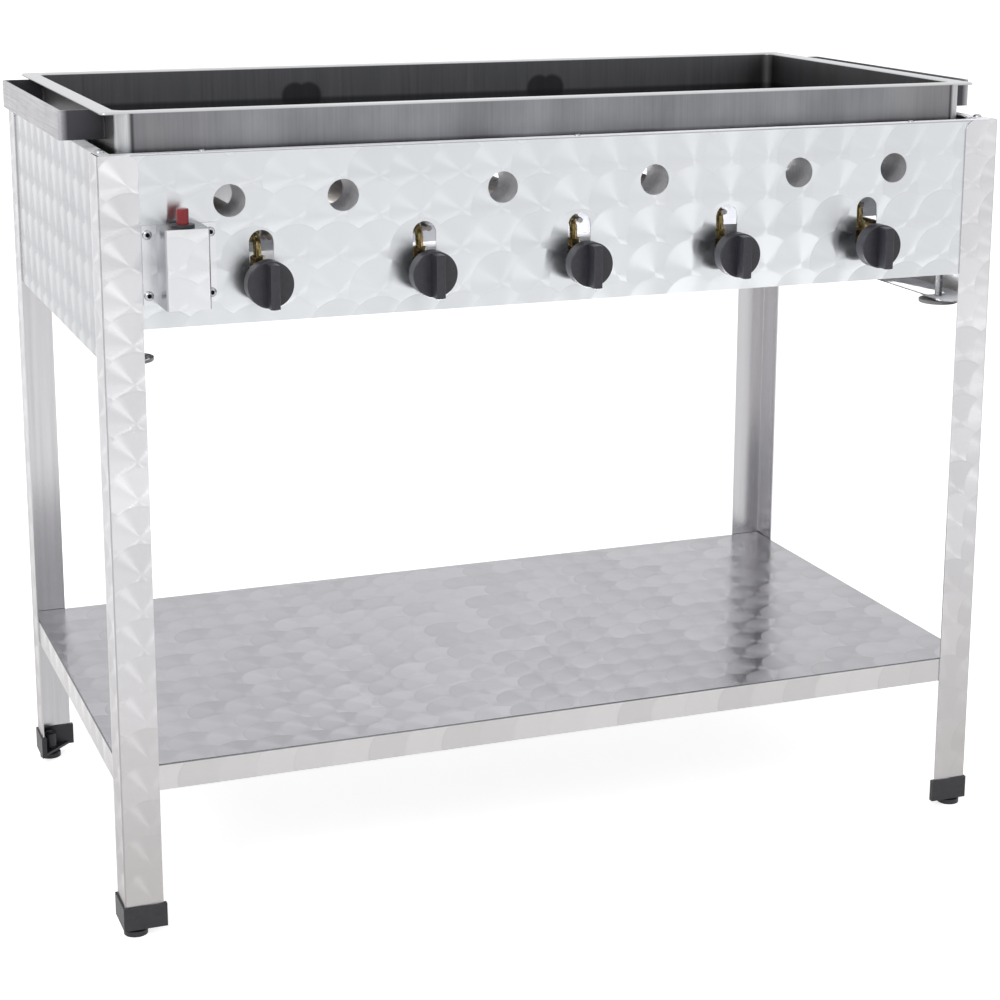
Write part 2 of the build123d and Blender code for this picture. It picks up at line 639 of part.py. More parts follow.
def piezo_body():
    """The piezo unit: a round body under the cover's top, a collar above it and a bore for the button."""
    top = IGNITER_TOP + PIEZO_COLLAR_HEIGHT
    body = rod_z(IGNITER_X, PIEZO_Y, (IGNITER_TOP - PIEZO_LENGTH, IGNITER_TOP), PIEZO_RADIUS)
    collar = rod_z(IGNITER_X, PIEZO_Y, (IGNITER_TOP, top), PIEZO_COLLAR_RADIUS)
    body += fillet(collar.edges().group_by(Axis.Z)[-1], PIEZO_COLLAR_HEIGHT / 3)
    floor = top - BUTTON_SUNK - BUTTON_TRAVEL - BUTTON_END_PLAY
    return body - rod_z(IGNITER_X, PIEZO_Y, (floor, top), BUTTON_RADIUS + BUTTON_CLEARANCE)


def igniter_button():
    """The igniter's push button."""
    seat = IGNITER_TOP + PIEZO_COLLAR_HEIGHT
    body = rod_z(IGNITER_X, PIEZO_Y, (seat - BUTTON_SUNK, seat + BUTTON_RISE), BUTTON_RADIUS)
    return fillet(body.edges().group_by(Axis.Z)[-1], BUTTON_EDGE)


def lead_height():
    """The height at which the ignition lead passes through the front panel."""
    return IGNITER_TOP - PIEZO_LENGTH - LEAD_DROP


def ignition_lead():
    """The lead from the piezo unit, through the front panel, to the electrode."""
    x = TAP_X[0] - SENSOR_OFFSET
    electrode_front = CARRIER_Y - ELECTRODE_FRONT
    route = FilletPolyline(
        (IGNITER_X, PIEZO_Y, IGNITER_TOP - PIEZO_LENGTH),
        (IGNITER_X, PIEZO_Y, lead_height()),
        (IGNITER_X, Y_INSIDE + LEAD_STANDOFF, lead_height()),
        (x, electrode_front - LEAD_END_RUN, SENSOR_Z),
        (x, electrode_front, SENSOR_Z),
        radius=LEAD_BEND,
    )
    return sweep(Plane(origin=route @ 0, z_dir=route % 0) * Circle(LEAD_RADIUS), path=route)


def electrode():
    """The ignition electrode: a ceramic sleeve in the burner carrier, its wire beside the first burner."""
    x = TAP_X[0] - SENSOR_OFFSET
    front = CARRIER_Y - ELECTRODE_FRONT
    sleeve = rod_y(x, (front, front + ELECTRODE_LENGTH), SENSOR_Z, ELECTRODE_RADIUS)
    sleeve += hex_y(x, (CARRIER_Y - SENSOR_HEX_LENGTH, CARRIER_Y), SENSOR_Z, SENSOR_HEX)
    end = front + ELECTRODE_LENGTH
    return sleeve + rod_y(x, (end, end + ELECTRODE_WIRE_LENGTH), SENSOR_Z, ELECTRODE_WIRE_RADIUS)


def thermocouple(x):
    """A flame sensor beside one burner, screwed into the carrier."""
    place = x + SENSOR_OFFSET
    body = rod_y(place, (CARRIER_Y - SENSOR_LENGTH, CARRIER_Y + SENSOR_LENGTH), SENSOR_Z, SENSOR_RADIUS)
    body += hex_y(place, (CARRIER_Y - SENSOR_HEX_LENGTH, CARRIER_Y), SENSOR_Z, SENSOR_HEX)
    end = CARRIER_Y + SENSOR_LENGTH
    return body + rod_y(place, (end, end + SENSOR_TIP_LENGTH), SENSOR_Z, SENSOR_TIP_RADIUS)


def burner_carrier():
    """The strip that carries the burners in notches, bent back below and tabbed to the side panels."""
    y = (CARRIER_Y, CARRIER_Y + CARRIER_SHEET)
    x = (X_INSIDE, -X_INSIDE)
    body = block(x, y, (CARRIER_BOTTOM, CARRIER_TOP))
    fold = (CARRIER_BOTTOM, CARRIER_BOTTOM + CARRIER_SHEET)
    body += block(x, (CARRIER_Y, CARRIER_Y + CARRIER_RETURN), fold)
    tab_y = (CARRIER_Y, CARRIER_Y + CARRIER_TAB)
    tab = block((X_INSIDE, X_INSIDE + CARRIER_SHEET), tab_y, (CARRIER_BOTTOM, CARRIER_TOP))
    for side in (tab, to_right(tab)):
        body += side
    radius = BURNER_THROAT_RADIUS + NOTCH_PLAY
    for tap in TAP_X:
        body -= rod_y(tap, y, BURNER_Z, radius)
        body -= block((tap - radius, tap + radius), y, (BURNER_Z, CARRIER_TOP))
        body -= rod_y(tap + SENSOR_OFFSET, y, SENSOR_Z, SENSOR_RADIUS + SENSOR_PLAY)
    return body - rod_y(TAP_X[0] - SENSOR_OFFSET, y, SENSOR_Z, ELECTRODE_RADIUS + SENSOR_PLAY)


def burner(x):
    """One burner: a flared mouth, a throat, and a closed tube with flame ports across its top."""
    mouth = BURNER_FRONT
    throat = THROAT_FRONT
    cone = throat + BURNER_THROAT_LENGTH
    tube = cone + BURNER_CONE
    tail = Y_REAR_INSIDE - BURNER_TAIL
    wall = BURNER_WALL
    outside = [
        (BURNER_MOUTH_RADIUS, mouth),
        (BURNER_THROAT_RADIUS, throat),
        (BURNER_THROAT_RADIUS, cone),
        (BURNER_RADIUS, tube),
        (BURNER_RADIUS, tail),
        (0, tail),
    ]
    inside = [
        (0, tail - wall),
        (BURNER_RADIUS - wall, tail - wall),
        (BURNER_RADIUS - wall, tube),
        (BURNER_THROAT_RADIUS - wall, cone),
        (BURNER_THROAT_RADIUS - wall, throat),
        (BURNER_MOUTH_RADIUS - wall, mouth),
    ]
    body = revolve(make_face(Polyline(*outside, *inside, close=True)), axis=Axis.Y)
    pitch = (tail - tube - 2 * PORT_MARGIN) / (PORT_COUNT - 1)
    for i in range(PORT_COUNT):
        middle = tube + PORT_MARGIN + i * pitch
        body -= block(
            (-PORT_LENGTH / 2, PORT_LENGTH / 2),
            (middle - PORT_WIDTH / 2, middle + PORT_WIDTH / 2),
            (BURNER_RADIUS / 2, BURNER_RADIUS + wall),
        )
    body += rod_y(0, (tail, Y_REAR_INSIDE), 0, BURNER_TAIL_RADIUS)
    body += rod_y(0, (Y_REAR_INSIDE, Y_REAR_PANEL + BURNER_NUT_HEIGHT), 0, BURNER_STUD_RADIUS)
    return Pos(x, 0, BURNER_Z) * body


def burner_nut(x):
    """The nut behind the rear panel that holds one burner's stud."""
    y = (Y_REAR_PANEL, Y_REAR_PANEL + BURNER_NUT_HEIGHT)
    nut = hex_y(x, y, BURNER_Z, BURNER_NUT)
    return nut - rod_y(x, y, BURNER_Z, BURNER_STUD_RADIUS + STEM_CLEARANCE)


def gas_tube(x):
    """One brass tube, up from the tap and round to the burner's mouth, with its nut."""
    bottom = TAP_Z + TAP_HEIGHT / 2
    end = BURNER_FRONT - INJECTOR_GAP - INJECTOR_TIP_LENGTH - INJECTOR_LENGTH
    corners = (x, TAP_MIDDLE, bottom), (x, TAP_MIDDLE, BURNER_Z), (x, end, BURNER_Z)
    route = FilletPolyline(*corners, radius=GAS_TUBE_BEND)
    tube = sweep(Plane(origin=route @ 0, z_dir=route % 0) * Circle(GAS_TUBE_RADIUS), path=route)
    return tube + hex_z(x, TAP_MIDDLE, (bottom, bottom + GAS_NUT_HEIGHT), GAS_NUT)


def injector(x):
    """The brass injector at a gas tube's end, just in front of the burner's mouth."""
    tip = BURNER_FRONT - INJECTOR_GAP
    shoulder = tip - INJECTOR_TIP_LENGTH
    body = hex_y(x, (shoulder - INJECTOR_LENGTH, shoulder), BURNER_Z, INJECTOR_HEX)
    return body + rod_y(x, (shoulder, tip), BURNER_Z, INJECTOR_TIP_RADIUS)


def tap_body(x):
    """One brass tap: a body on the manifold, a neck through the slot and a bore for stem and plunger."""
    y = (TAP_FRONT, TAP_FRONT + TAP_DEPTH)
    half = TAP_WIDTH / 2
    body = block((x - half, x + half), y, (TAP_Z - TAP_HEIGHT / 2, TAP_Z + TAP_HEIGHT / 2))
    body = fillet(body.edges().filter_by(Axis.Y), TAP_ROUND)
    body += rod_y(x, (TAP_FRONT - TAP_NECK_LENGTH, TAP_FRONT), TAP_Z, TAP_NECK_RADIUS)
    body += rod_y(x, (TAP_MIDDLE, MANIFOLD_Y - MANIFOLD_RADIUS + 2 * MANIFOLD_WALL), TAP_Z, NIPPLE_RADIUS)
    stem_end = TAP_FRONT + STEM_IN_TAP
    bore_end = stem_end + PLUNGER_GAP + PLUNGER_LENGTH + PUSH_TRAVEL + PLUNGER_END_PLAY
    return body - rod_y(x, (TAP_FRONT - TAP_NECK_LENGTH, bore_end), TAP_Z, STEM_RADIUS + STEM_CLEARANCE)


def tap_plunger(x):
    """The plunger that the stem pushes in to open the flame safety valve."""
    front = TAP_FRONT + STEM_IN_TAP + PLUNGER_GAP
    return rod_y(x, (front, front + PLUNGER_LENGTH), TAP_Z, STEM_RADIUS)


def tap_stem(x):
    """The stem that joins one knob to its tap."""
    knob_back = Y_PANEL - KNOB_STANDOFF
    return rod_y(x, (knob_back - STEM_IN_KNOB, TAP_FRONT + STEM_IN_TAP), TAP_Z, STEM_RADIUS)


def knob(x):
    """One knob: a round shell with a tall grip bar across its face and a hub inside."""
    back = Y_PANEL - KNOB_STANDOFF
    face = back - KNOB_DEPTH
    body = rod_y(0, (face, back), 0, KNOB_RADIUS)
    body = fillet(body.faces().sort_by(Axis.Y)[0].edges(), KNOB_EDGE)
    half = KNOB_BAR_WIDTH / 2
    bar = block((-half, half), (face - KNOB_BAR_HEIGHT, face), (-KNOB_RADIUS, KNOB_RADIUS))
    bar &= rod_y(0, (face - KNOB_BAR_HEIGHT, face), 0, KNOB_RADIUS - KNOB_EDGE)
    bar = fillet(bar.faces().sort_by(Axis.Y)[0].edges(), KNOB_EDGE)
    body += bar
    hollow = rod_y(0, (face + KNOB_WALL, back), 0, KNOB_RADIUS - KNOB_WALL)
    hollow -= rod_y(0, (face + KNOB_WALL, back), 0, KNOB_HUB_RADIUS)
    body -= hollow
    body -= rod_y(0, (back - STEM_IN_KNOB, back), 0, STEM_RADIUS + STEM_CLEARANCE)
    return Pos(x, 0, TAP_Z) * body


def gas_manifold():
    """The gas pipe behind the taps, closed at the left end, with two brackets to the front panel."""
    x = (-MANIFOLD_HALF, MANIFOLD_HALF)
    body = rod_x(x, MANIFOLD_Y, TAP_Z, MANIFOLD_RADIUS)
    for side in (-TAP_SPACING / 2, TAP_SPACING / 2):
        arm_x = (side - BRACKET_WIDTH / 2, side + BRACKET_WIDTH / 2)
        bottom = TAP_Z - BRACKET_SHEET / 2
        body += block(arm_x, (Y_INSIDE, MANIFOLD_Y), (bottom, bottom + BRACKET_SHEET))
        body += block(arm_x, (Y_INSIDE, Y_INSIDE + BRACKET_SHEET), (bottom, bottom + BRACKET_TAB))
    bore = (x[0] + MANIFOLD_WALL, x[1])
    body -= rod_x(bore, MANIFOLD_Y, TAP_Z, MANIFOLD_RADIUS - MANIFOLD_WALL)
    for tap in TAP_X:
        body -= rod_y(tap, (MANIFOLD_Y - MANIFOLD_RADIUS, MANIFOLD_Y), TAP_Z, NIPPLE_RADIUS + NIPPLE_PLAY)
    return body


def gas_inlet():
    """The inlet: a pipe from the manifold to a threaded end, clamped in the rear panel."""
    hex_front = Y_REAR_INSIDE - INLET_HEX_LENGTH
    nut_end = Y_REAR_PANEL + INLET_NUT_LENGTH
    end = nut_end + INLET_THREAD_LENGTH
    body = rod_x((MANIFOLD_HALF, INLET_X), MANIFOLD_Y, TAP_Z, MANIFOLD_RADIUS)
    body += Pos(INLET_X, MANIFOLD_Y, TAP_Z) * Sphere(MANIFOLD_RADIUS)
    body += rod_y(INLET_X, (MANIFOLD_Y, hex_front), TAP_Z, INLET_PIPE_RADIUS)
    body += hex_y(INLET_X, (hex_front, Y_REAR_INSIDE), TAP_Z, INLET_HEX)
    body += rod_y(INLET_X, (Y_REAR_INSIDE, Y_REAR_PANEL), TAP_Z, INLET_NECK_RADIUS)
    body += hex_y(INLET_X, (Y_REAR_PANEL, nut_end), TAP_Z, INLET_HEX)
    body += rod_y(INLET_X, (nut_end, end), TAP_Z, INLET_THREAD_RADIUS)
    return body - rod_y(INLET_X, (MANIFOLD_Y, end), TAP_Z, INLET_THREAD_RADIUS / 2)


def pan_rest():
    """The left rest: an angle on the side panel whose ledge carries the pan's end."""
    y = (Y_MIDDLE - REST_LENGTH / 2, Y_MIDDLE + REST_LENGTH / 2)
    upright = block((X_INSIDE, X_INSIDE + REST_SHEET), y, (REST_TOP - REST_HEIGHT, REST_TOP))
    return upright + block((X_INSIDE, X_INSIDE + REST_WIDTH), y, (REST_TOP - REST_SHEET, REST_TOP))


def rounded_plate(length, width, radius, z):
    """A flat plate with round corners about the middle of the frame, between two heights."""
    shape = RectangleRounded(length, width, radius)
    return Pos(0, Y_MIDDLE, z[0]) * extrude(shape, z[1] - z[0])


def pan():
    """The pan: a tray with a rim folded out all round, a skirt on its long sides and a lip at each end."""
    outer_length = 2 * PAN_END
    outer_width = PAN_WIDTH + 2 * PAN_RIM
    rim_bottom = RIM_TOP - PAN_SHEET
    skirt_bottom = RIM_TOP - PAN_SKIRT
    tray = rounded_plate(
        outer_length, PAN_WIDTH + 2 * PAN_SHEET, PAN_CORNER + PAN_SHEET, (PAN_BOTTOM, RIM_TOP)
    )
    tray = fillet(tray.faces().sort_by(Axis.Z)[0].edges(), PAN_FLOOR_BEND)
    skirt = rounded_plate(outer_length, outer_width, PAN_SKIRT_CORNER, (skirt_bottom, RIM_TOP))
    skirt -= rounded_plate(
        outer_length - 2 * PAN_SHEET,
        outer_width - 2 * PAN_SHEET,
        PAN_SKIRT_CORNER - PAN_SHEET,
        (skirt_bottom, rim_bottom),
    )
    rim = rounded_plate(outer_length + 2 * PAN_END_LIP, outer_width, PAN_RIM_CORNER, (rim_bottom, RIM_TOP))
    hollow = rounded_plate(PAN_LENGTH, PAN_WIDTH, PAN_CORNER, (PAN_BOTTOM + PAN_SHEET, RIM_TOP))
    hollow = fillet(hollow.faces().sort_by(Axis.Z)[0].edges(), PAN_FLOOR_BEND - PAN_SHEET)
    body = tray + skirt + rim - hollow
    return fillet(body.faces().sort_by(Axis.Z)[-1].edges(), PAN_RIM_BEND)


def handle():
    """The left handle: a strip bent round in a wide U, welded to the pan's end below the lip."""
    top = RIM_TOP - PAN_SHEET
    x = (-PAN_END - PAN_END_LIP - HANDLE_REACH, -PAN_END)
    y = (Y_MIDDLE - HANDLE_LENGTH / 2, Y_MIDDLE + HANDLE_LENGTH / 2)
    z = (top - HANDLE_HEIGHT, top)
    body = block(x, y, z)
    body = fillet(body.faces().sort_by(Axis.X)[0].edges().filter_by(Axis.Z), HANDLE_BEND)
    inside = block((x[0] + HANDLE_SHEET, x[1]), (y[0] + HANDLE_SHEET, y[1] - HANDLE_SHEET), z)
    bend = max(HANDLE_BEND - HANDLE_SHEET, 0.2)
    inside = fillet(inside.faces().sort_by(Axis.X)[0].edges().filter_by(Axis.Z), bend)
    return body - inside


def front_flange_screws():
    """The screws in the corner tabs of the front flange."""
    return [screw((*place, BOX_TOP), Rot(0, 0, 0)) for place in flange_screw_places()]


def parts():
    """Every piece by its node's name."""
    nodes = {"shelf": shelf(), "front_panel": front_panel(), "rear_panel": rear_panel()}
    nodes["left_panel"] = left_panel()
    nodes["right_panel"] = to_right(nodes["left_panel"])
    for place, solid in at_corners(leg()).items():
        nodes[f"leg_{place}"] = solid
    for place, solid in at_corners(corner_shoe()).items():
        nodes[f"corner_shoe_{place}"] = solid
    for place, solid in at_corners(levelling_foot()).items():
        nodes[f"levelling_foot_{place}"] = solid
    studs = [image for stud in leg_studs() for image in at_corners(stud).values()]
    nodes["leg_studs"] = group(studs)
    nodes["box_feet"] = group(at_corners(box_foot()).values())
    nodes["burner_carrier"] = burner_carrier()
    nodes["gas_manifold"] = gas_manifold()
    nodes["gas_inlet"] = gas_inlet()
    nodes["tap_bodies"] = group(tap_body(x) for x in TAP_X)
    nodes["gas_tubes"] = group(gas_tube(x) for x in TAP_X)
    nodes["injectors"] = group(injector(x) for x in TAP_X)
    nodes["thermocouples"] = group(thermocouple(x) for x in TAP_X)
    nodes["burner_nuts"] = group(burner_nut(x) for x in TAP_X)
    for number, x in enumerate(TAP_X, start=1):
        nodes[f"burner_{number}"] = burner(x)
        nodes[f"tap_plunger_{number}"] = tap_plunger(x)
        nodes[f"tap_stem_{number}"] = tap_stem(x)
        nodes[f"knob_{number}"] = knob(x)
    nodes["igniter_box"] = igniter_box()
    seat = Y_PANEL - IGNITER_SHEET
    nodes["igniter_screws"] = group(screw((x, seat, z), Rot(90, 0, 0)) for x, z in igniter_screw_places())
    nodes["piezo_body"] = piezo_body()
    nodes["igniter_button"] = igniter_button()
    nodes["ignition_lead"] = ignition_lead()
    nodes["ignition_electrode"] = electrode()
    front_screws = front_flange_screws()
    nodes["flange_screws"] = group(front_screws + [to_rear(solid) for solid in front_screws])
    rest = pan_rest()
    nodes["pan_rests"] = group([rest, to_right(rest)])
    nodes["pan"] = pan()
    nodes["handle_left"] = handle()
    nodes["handle_right"] = to_right(nodes["handle_left"])
    return nodes


def main():
    """Write one file for each node."""
    os.makedirs("parts", exist_ok=True)
    for name, solid in parts().items():
        export_step(solid, f"parts/{name}.step")


if __name__ == "__main__":
    main()
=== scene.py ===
import logging
import math
from dataclasses import dataclass
from enum import Enum
from typing import Any, ClassVar, Iterable, Sequence

import bmesh
import bpy
from mathutils import Matrix, Vector


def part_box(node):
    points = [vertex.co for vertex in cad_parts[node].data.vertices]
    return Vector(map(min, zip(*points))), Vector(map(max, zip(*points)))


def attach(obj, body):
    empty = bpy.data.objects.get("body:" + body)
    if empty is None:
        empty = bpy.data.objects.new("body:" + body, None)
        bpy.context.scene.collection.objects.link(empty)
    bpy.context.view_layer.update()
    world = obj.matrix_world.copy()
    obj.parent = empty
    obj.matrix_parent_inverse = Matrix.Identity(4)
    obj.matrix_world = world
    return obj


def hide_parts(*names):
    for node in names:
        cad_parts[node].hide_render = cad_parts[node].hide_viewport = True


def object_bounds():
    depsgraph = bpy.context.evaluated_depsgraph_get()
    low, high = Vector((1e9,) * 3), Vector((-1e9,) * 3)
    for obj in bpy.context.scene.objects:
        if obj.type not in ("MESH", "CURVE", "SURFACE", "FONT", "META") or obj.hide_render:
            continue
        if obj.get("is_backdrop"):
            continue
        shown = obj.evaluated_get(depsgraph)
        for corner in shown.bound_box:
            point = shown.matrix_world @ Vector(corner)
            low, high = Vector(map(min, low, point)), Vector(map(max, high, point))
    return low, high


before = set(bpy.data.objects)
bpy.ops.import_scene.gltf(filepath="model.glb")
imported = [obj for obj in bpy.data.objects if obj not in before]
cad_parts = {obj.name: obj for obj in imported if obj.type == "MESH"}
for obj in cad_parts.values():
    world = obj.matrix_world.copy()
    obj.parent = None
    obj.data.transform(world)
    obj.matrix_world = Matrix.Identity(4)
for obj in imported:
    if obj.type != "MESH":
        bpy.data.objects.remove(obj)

logging.basicConfig(level=logging.INFO, format="%(name)s: %(message)s")
log = logging.getLogger("griddle")

Colour = tuple[float, float, float, float]
Triple = Sequence[float]
Points = Iterable[Triple]
Node = bpy.types.Node
Socket = bpy.types.NodeSocket
Piece = bpy.types.Object
Feeds = dict[str, Any]

MM = 0.001
# Where the middle of the pan and of the box is in depth, in metres.
MIDDLE_Y = 0.018
CORNERS = ("front_left", "front_right", "rear_left", "rear_right")
TAPS = range(1, 6)
WHITE = (1.0, 1.0, 1.0, 1.0)
QUARTER_TURN = math.pi / 2
# A piece's turn about each axis: its top up, or its top to the front.
UPWARD, FORWARD = (0.0, 0.0, 0.0), (QUARTER_TURN, 0.0, 0.0)
SHARP_EDGE = math.radians(38)
# The part of a grain's and of a cloud's range that shows, and the layers of a fine grain.
NOISE, CLOUD = (0.3, 0.7), (0.35, 0.65)
FINE = 6.0
# A face looks along an axis from the first of these parts of its normal on, and below the second it is a bend.
FACING, STRAIGHT = 0.6, 0.97
# The tangent where a surface has no discs: any direction will do, as long as it isn't zero.
PLAIN_TANGENT = (1e-5, 1.3e-5, 1e-5)
# Two odd factors that give every disc of the polish a number of its own.
DISC_SEEDS = (13.7, 71.3)
# Signs for the commonest Math nodes, and the setting that each kind of node takes after a colon.
SIGNS = {
    "+": "Math:ADD",
    "-": "Math:SUBTRACT",
    "*": "Math:MULTIPLY",
    "/": "Math:DIVIDE",
    "<": "Math:LESS_THAN",
    ">": "Math:GREATER_THAN",
}
MODES = {
    "Math": "operation",
    "VectorMath": "operation",
    "Mix": "data_type",
    "TexNoise": "noise_dimensions",
    "TexWhiteNoise": "noise_dimensions",
}


class Lay(Enum):
    """The direction in which a surface was brushed or rolled, as a stretch of its grain."""

    ALONG_X = (0.02, 1.0, 1.0)
    ALONG_Y = (1.0, 0.02, 1.0)
    UPRIGHT = (1.0, 1.0, 0.02)


class Drive(Enum):
    """The recess in a screw's head."""

    HEX = "hex"
    CROSS = "cross"

    def edge(self, angle: float, size: float) -> float:
        """Find the recess's edge in one direction.

        Args:
            angle: The direction round the screw's axis, in radians.
            size: Half the recess's width.

        Returns:
            The edge's distance from the axis.
        """
        if self is Drive.HEX:
            return size / math.cos((angle + math.pi / 6) % (math.pi / 3) - math.pi / 6)
        across, along = abs(math.cos(angle)) + 1e-6, abs(math.sin(angle)) + 1e-6
        return max(min(size / a, 0.3 * size / b) for a, b in ((across, along), (along, across)))


def srgb(code: str, share: float = 1.0) -> Colour:
    """Turn a hex colour into linear values.

    Args:
        code: Six hex digits, as in a paint chart.
        share: How much of its light is left.

    Returns:
        Linear red, green, blue and a full alpha.
    """
    parts = [int(code[i : i + 2], 16) / 255 for i in (0, 2, 4)]
    linear = [c / 12.92 if c <= 0.04045 else ((c + 0.055) / 1.055) ** 2.4 for c in parts]
    return (*(share * c for c in linear), 1.0)


class Tree:
    """A node tree with one short way to add a node."""

    def __init__(self, tree: bpy.types.NodeTree) -> None:
        """Keep the tree."""
        self.tree = tree

    def add(self, kind: str, *feeds: Any, **settings: Any) -> Node:
        """Add one node with its settings and links.

        Args:
            kind: The node's type, a shader node's without its prefix, and after a colon its main setting; or a sign.
            feeds: Values, nodes or sockets for the inputs in use, in order, or one dict of them by input name.
            settings: Node properties to set first.

        Returns:
            The new node.
        """
        kind, _, mode = SIGNS.get(kind, kind).partition(":")
        node = self.tree.nodes.new(kind if "Node" in kind else f"ShaderNode{kind}")
        if mode:
            settings[MODES[kind]] = mode
        for key, value in settings.items():
            setattr(node, key, value)
        if feeds and isinstance(feeds[0], dict):
            pairs = [(node.inputs[key], value) for key, value in feeds[0].items()]
        else:
            pairs = list(zip([socket for socket in node.inputs if socket.enabled], feeds))
        for socket, value in pairs:
            if isinstance(value, Node):
                value = next(output for output in value.outputs if output.enabled)
            if isinstance(value, Socket):
                self.tree.links.new(value, socket)
            else:
                socket.default_value = value
        return node

    def grain(self, size_mm: float, stretch: Triple = (1, 1, 1), detail: float = 4.0) -> Node:
        """Lay a grain of a given size over a surface.

        Args:
            size_mm: The grain's size.
            stretch: How the coordinates are scaled first.
            detail: How many finer layers it has.

        Returns:
            The grain, between about 0.25 and 0.75.
        """
        scaled = self.add("VectorMath:MULTIPLY", self.add("TexCoord").outputs["Object"], stretch)
        return self.add("TexNoise", {"Vector": scaled, "Scale": 1 / (size_mm * MM), "Detail": detail})

    def seen(self) -> Node:
        """Tell rays of sight, reflection and transmission from rays of light.

        Returns:
            One for what is seen, zero for what lights.
        """
        path = self.add("LightPath").outputs
        direct = self.add("Math:MAXIMUM", path["Is Camera Ray"], path["Is Glossy Ray"])
        return self.add("Math:MAXIMUM", direct, path["Is Transmission Ray"])


@dataclass(frozen=True)
class Finish:
    """A surface that makes its own material."""

    name: str  # The material's name.

    def paint(self, tree: Tree) -> Feeds:
        """Give the shader's inputs."""
        raise NotImplementedError

    def build(self) -> bpy.types.Material:
        """Make the material.

        Returns:
            The material.
        """
        material = bpy.data.materials.new(self.name)
        material.use_nodes = True
        material.node_tree.nodes.clear()
        tree = Tree(material.node_tree)
        tree.add("OutputMaterial", tree.add("BsdfPrincipled", self.paint(tree)))
        return material


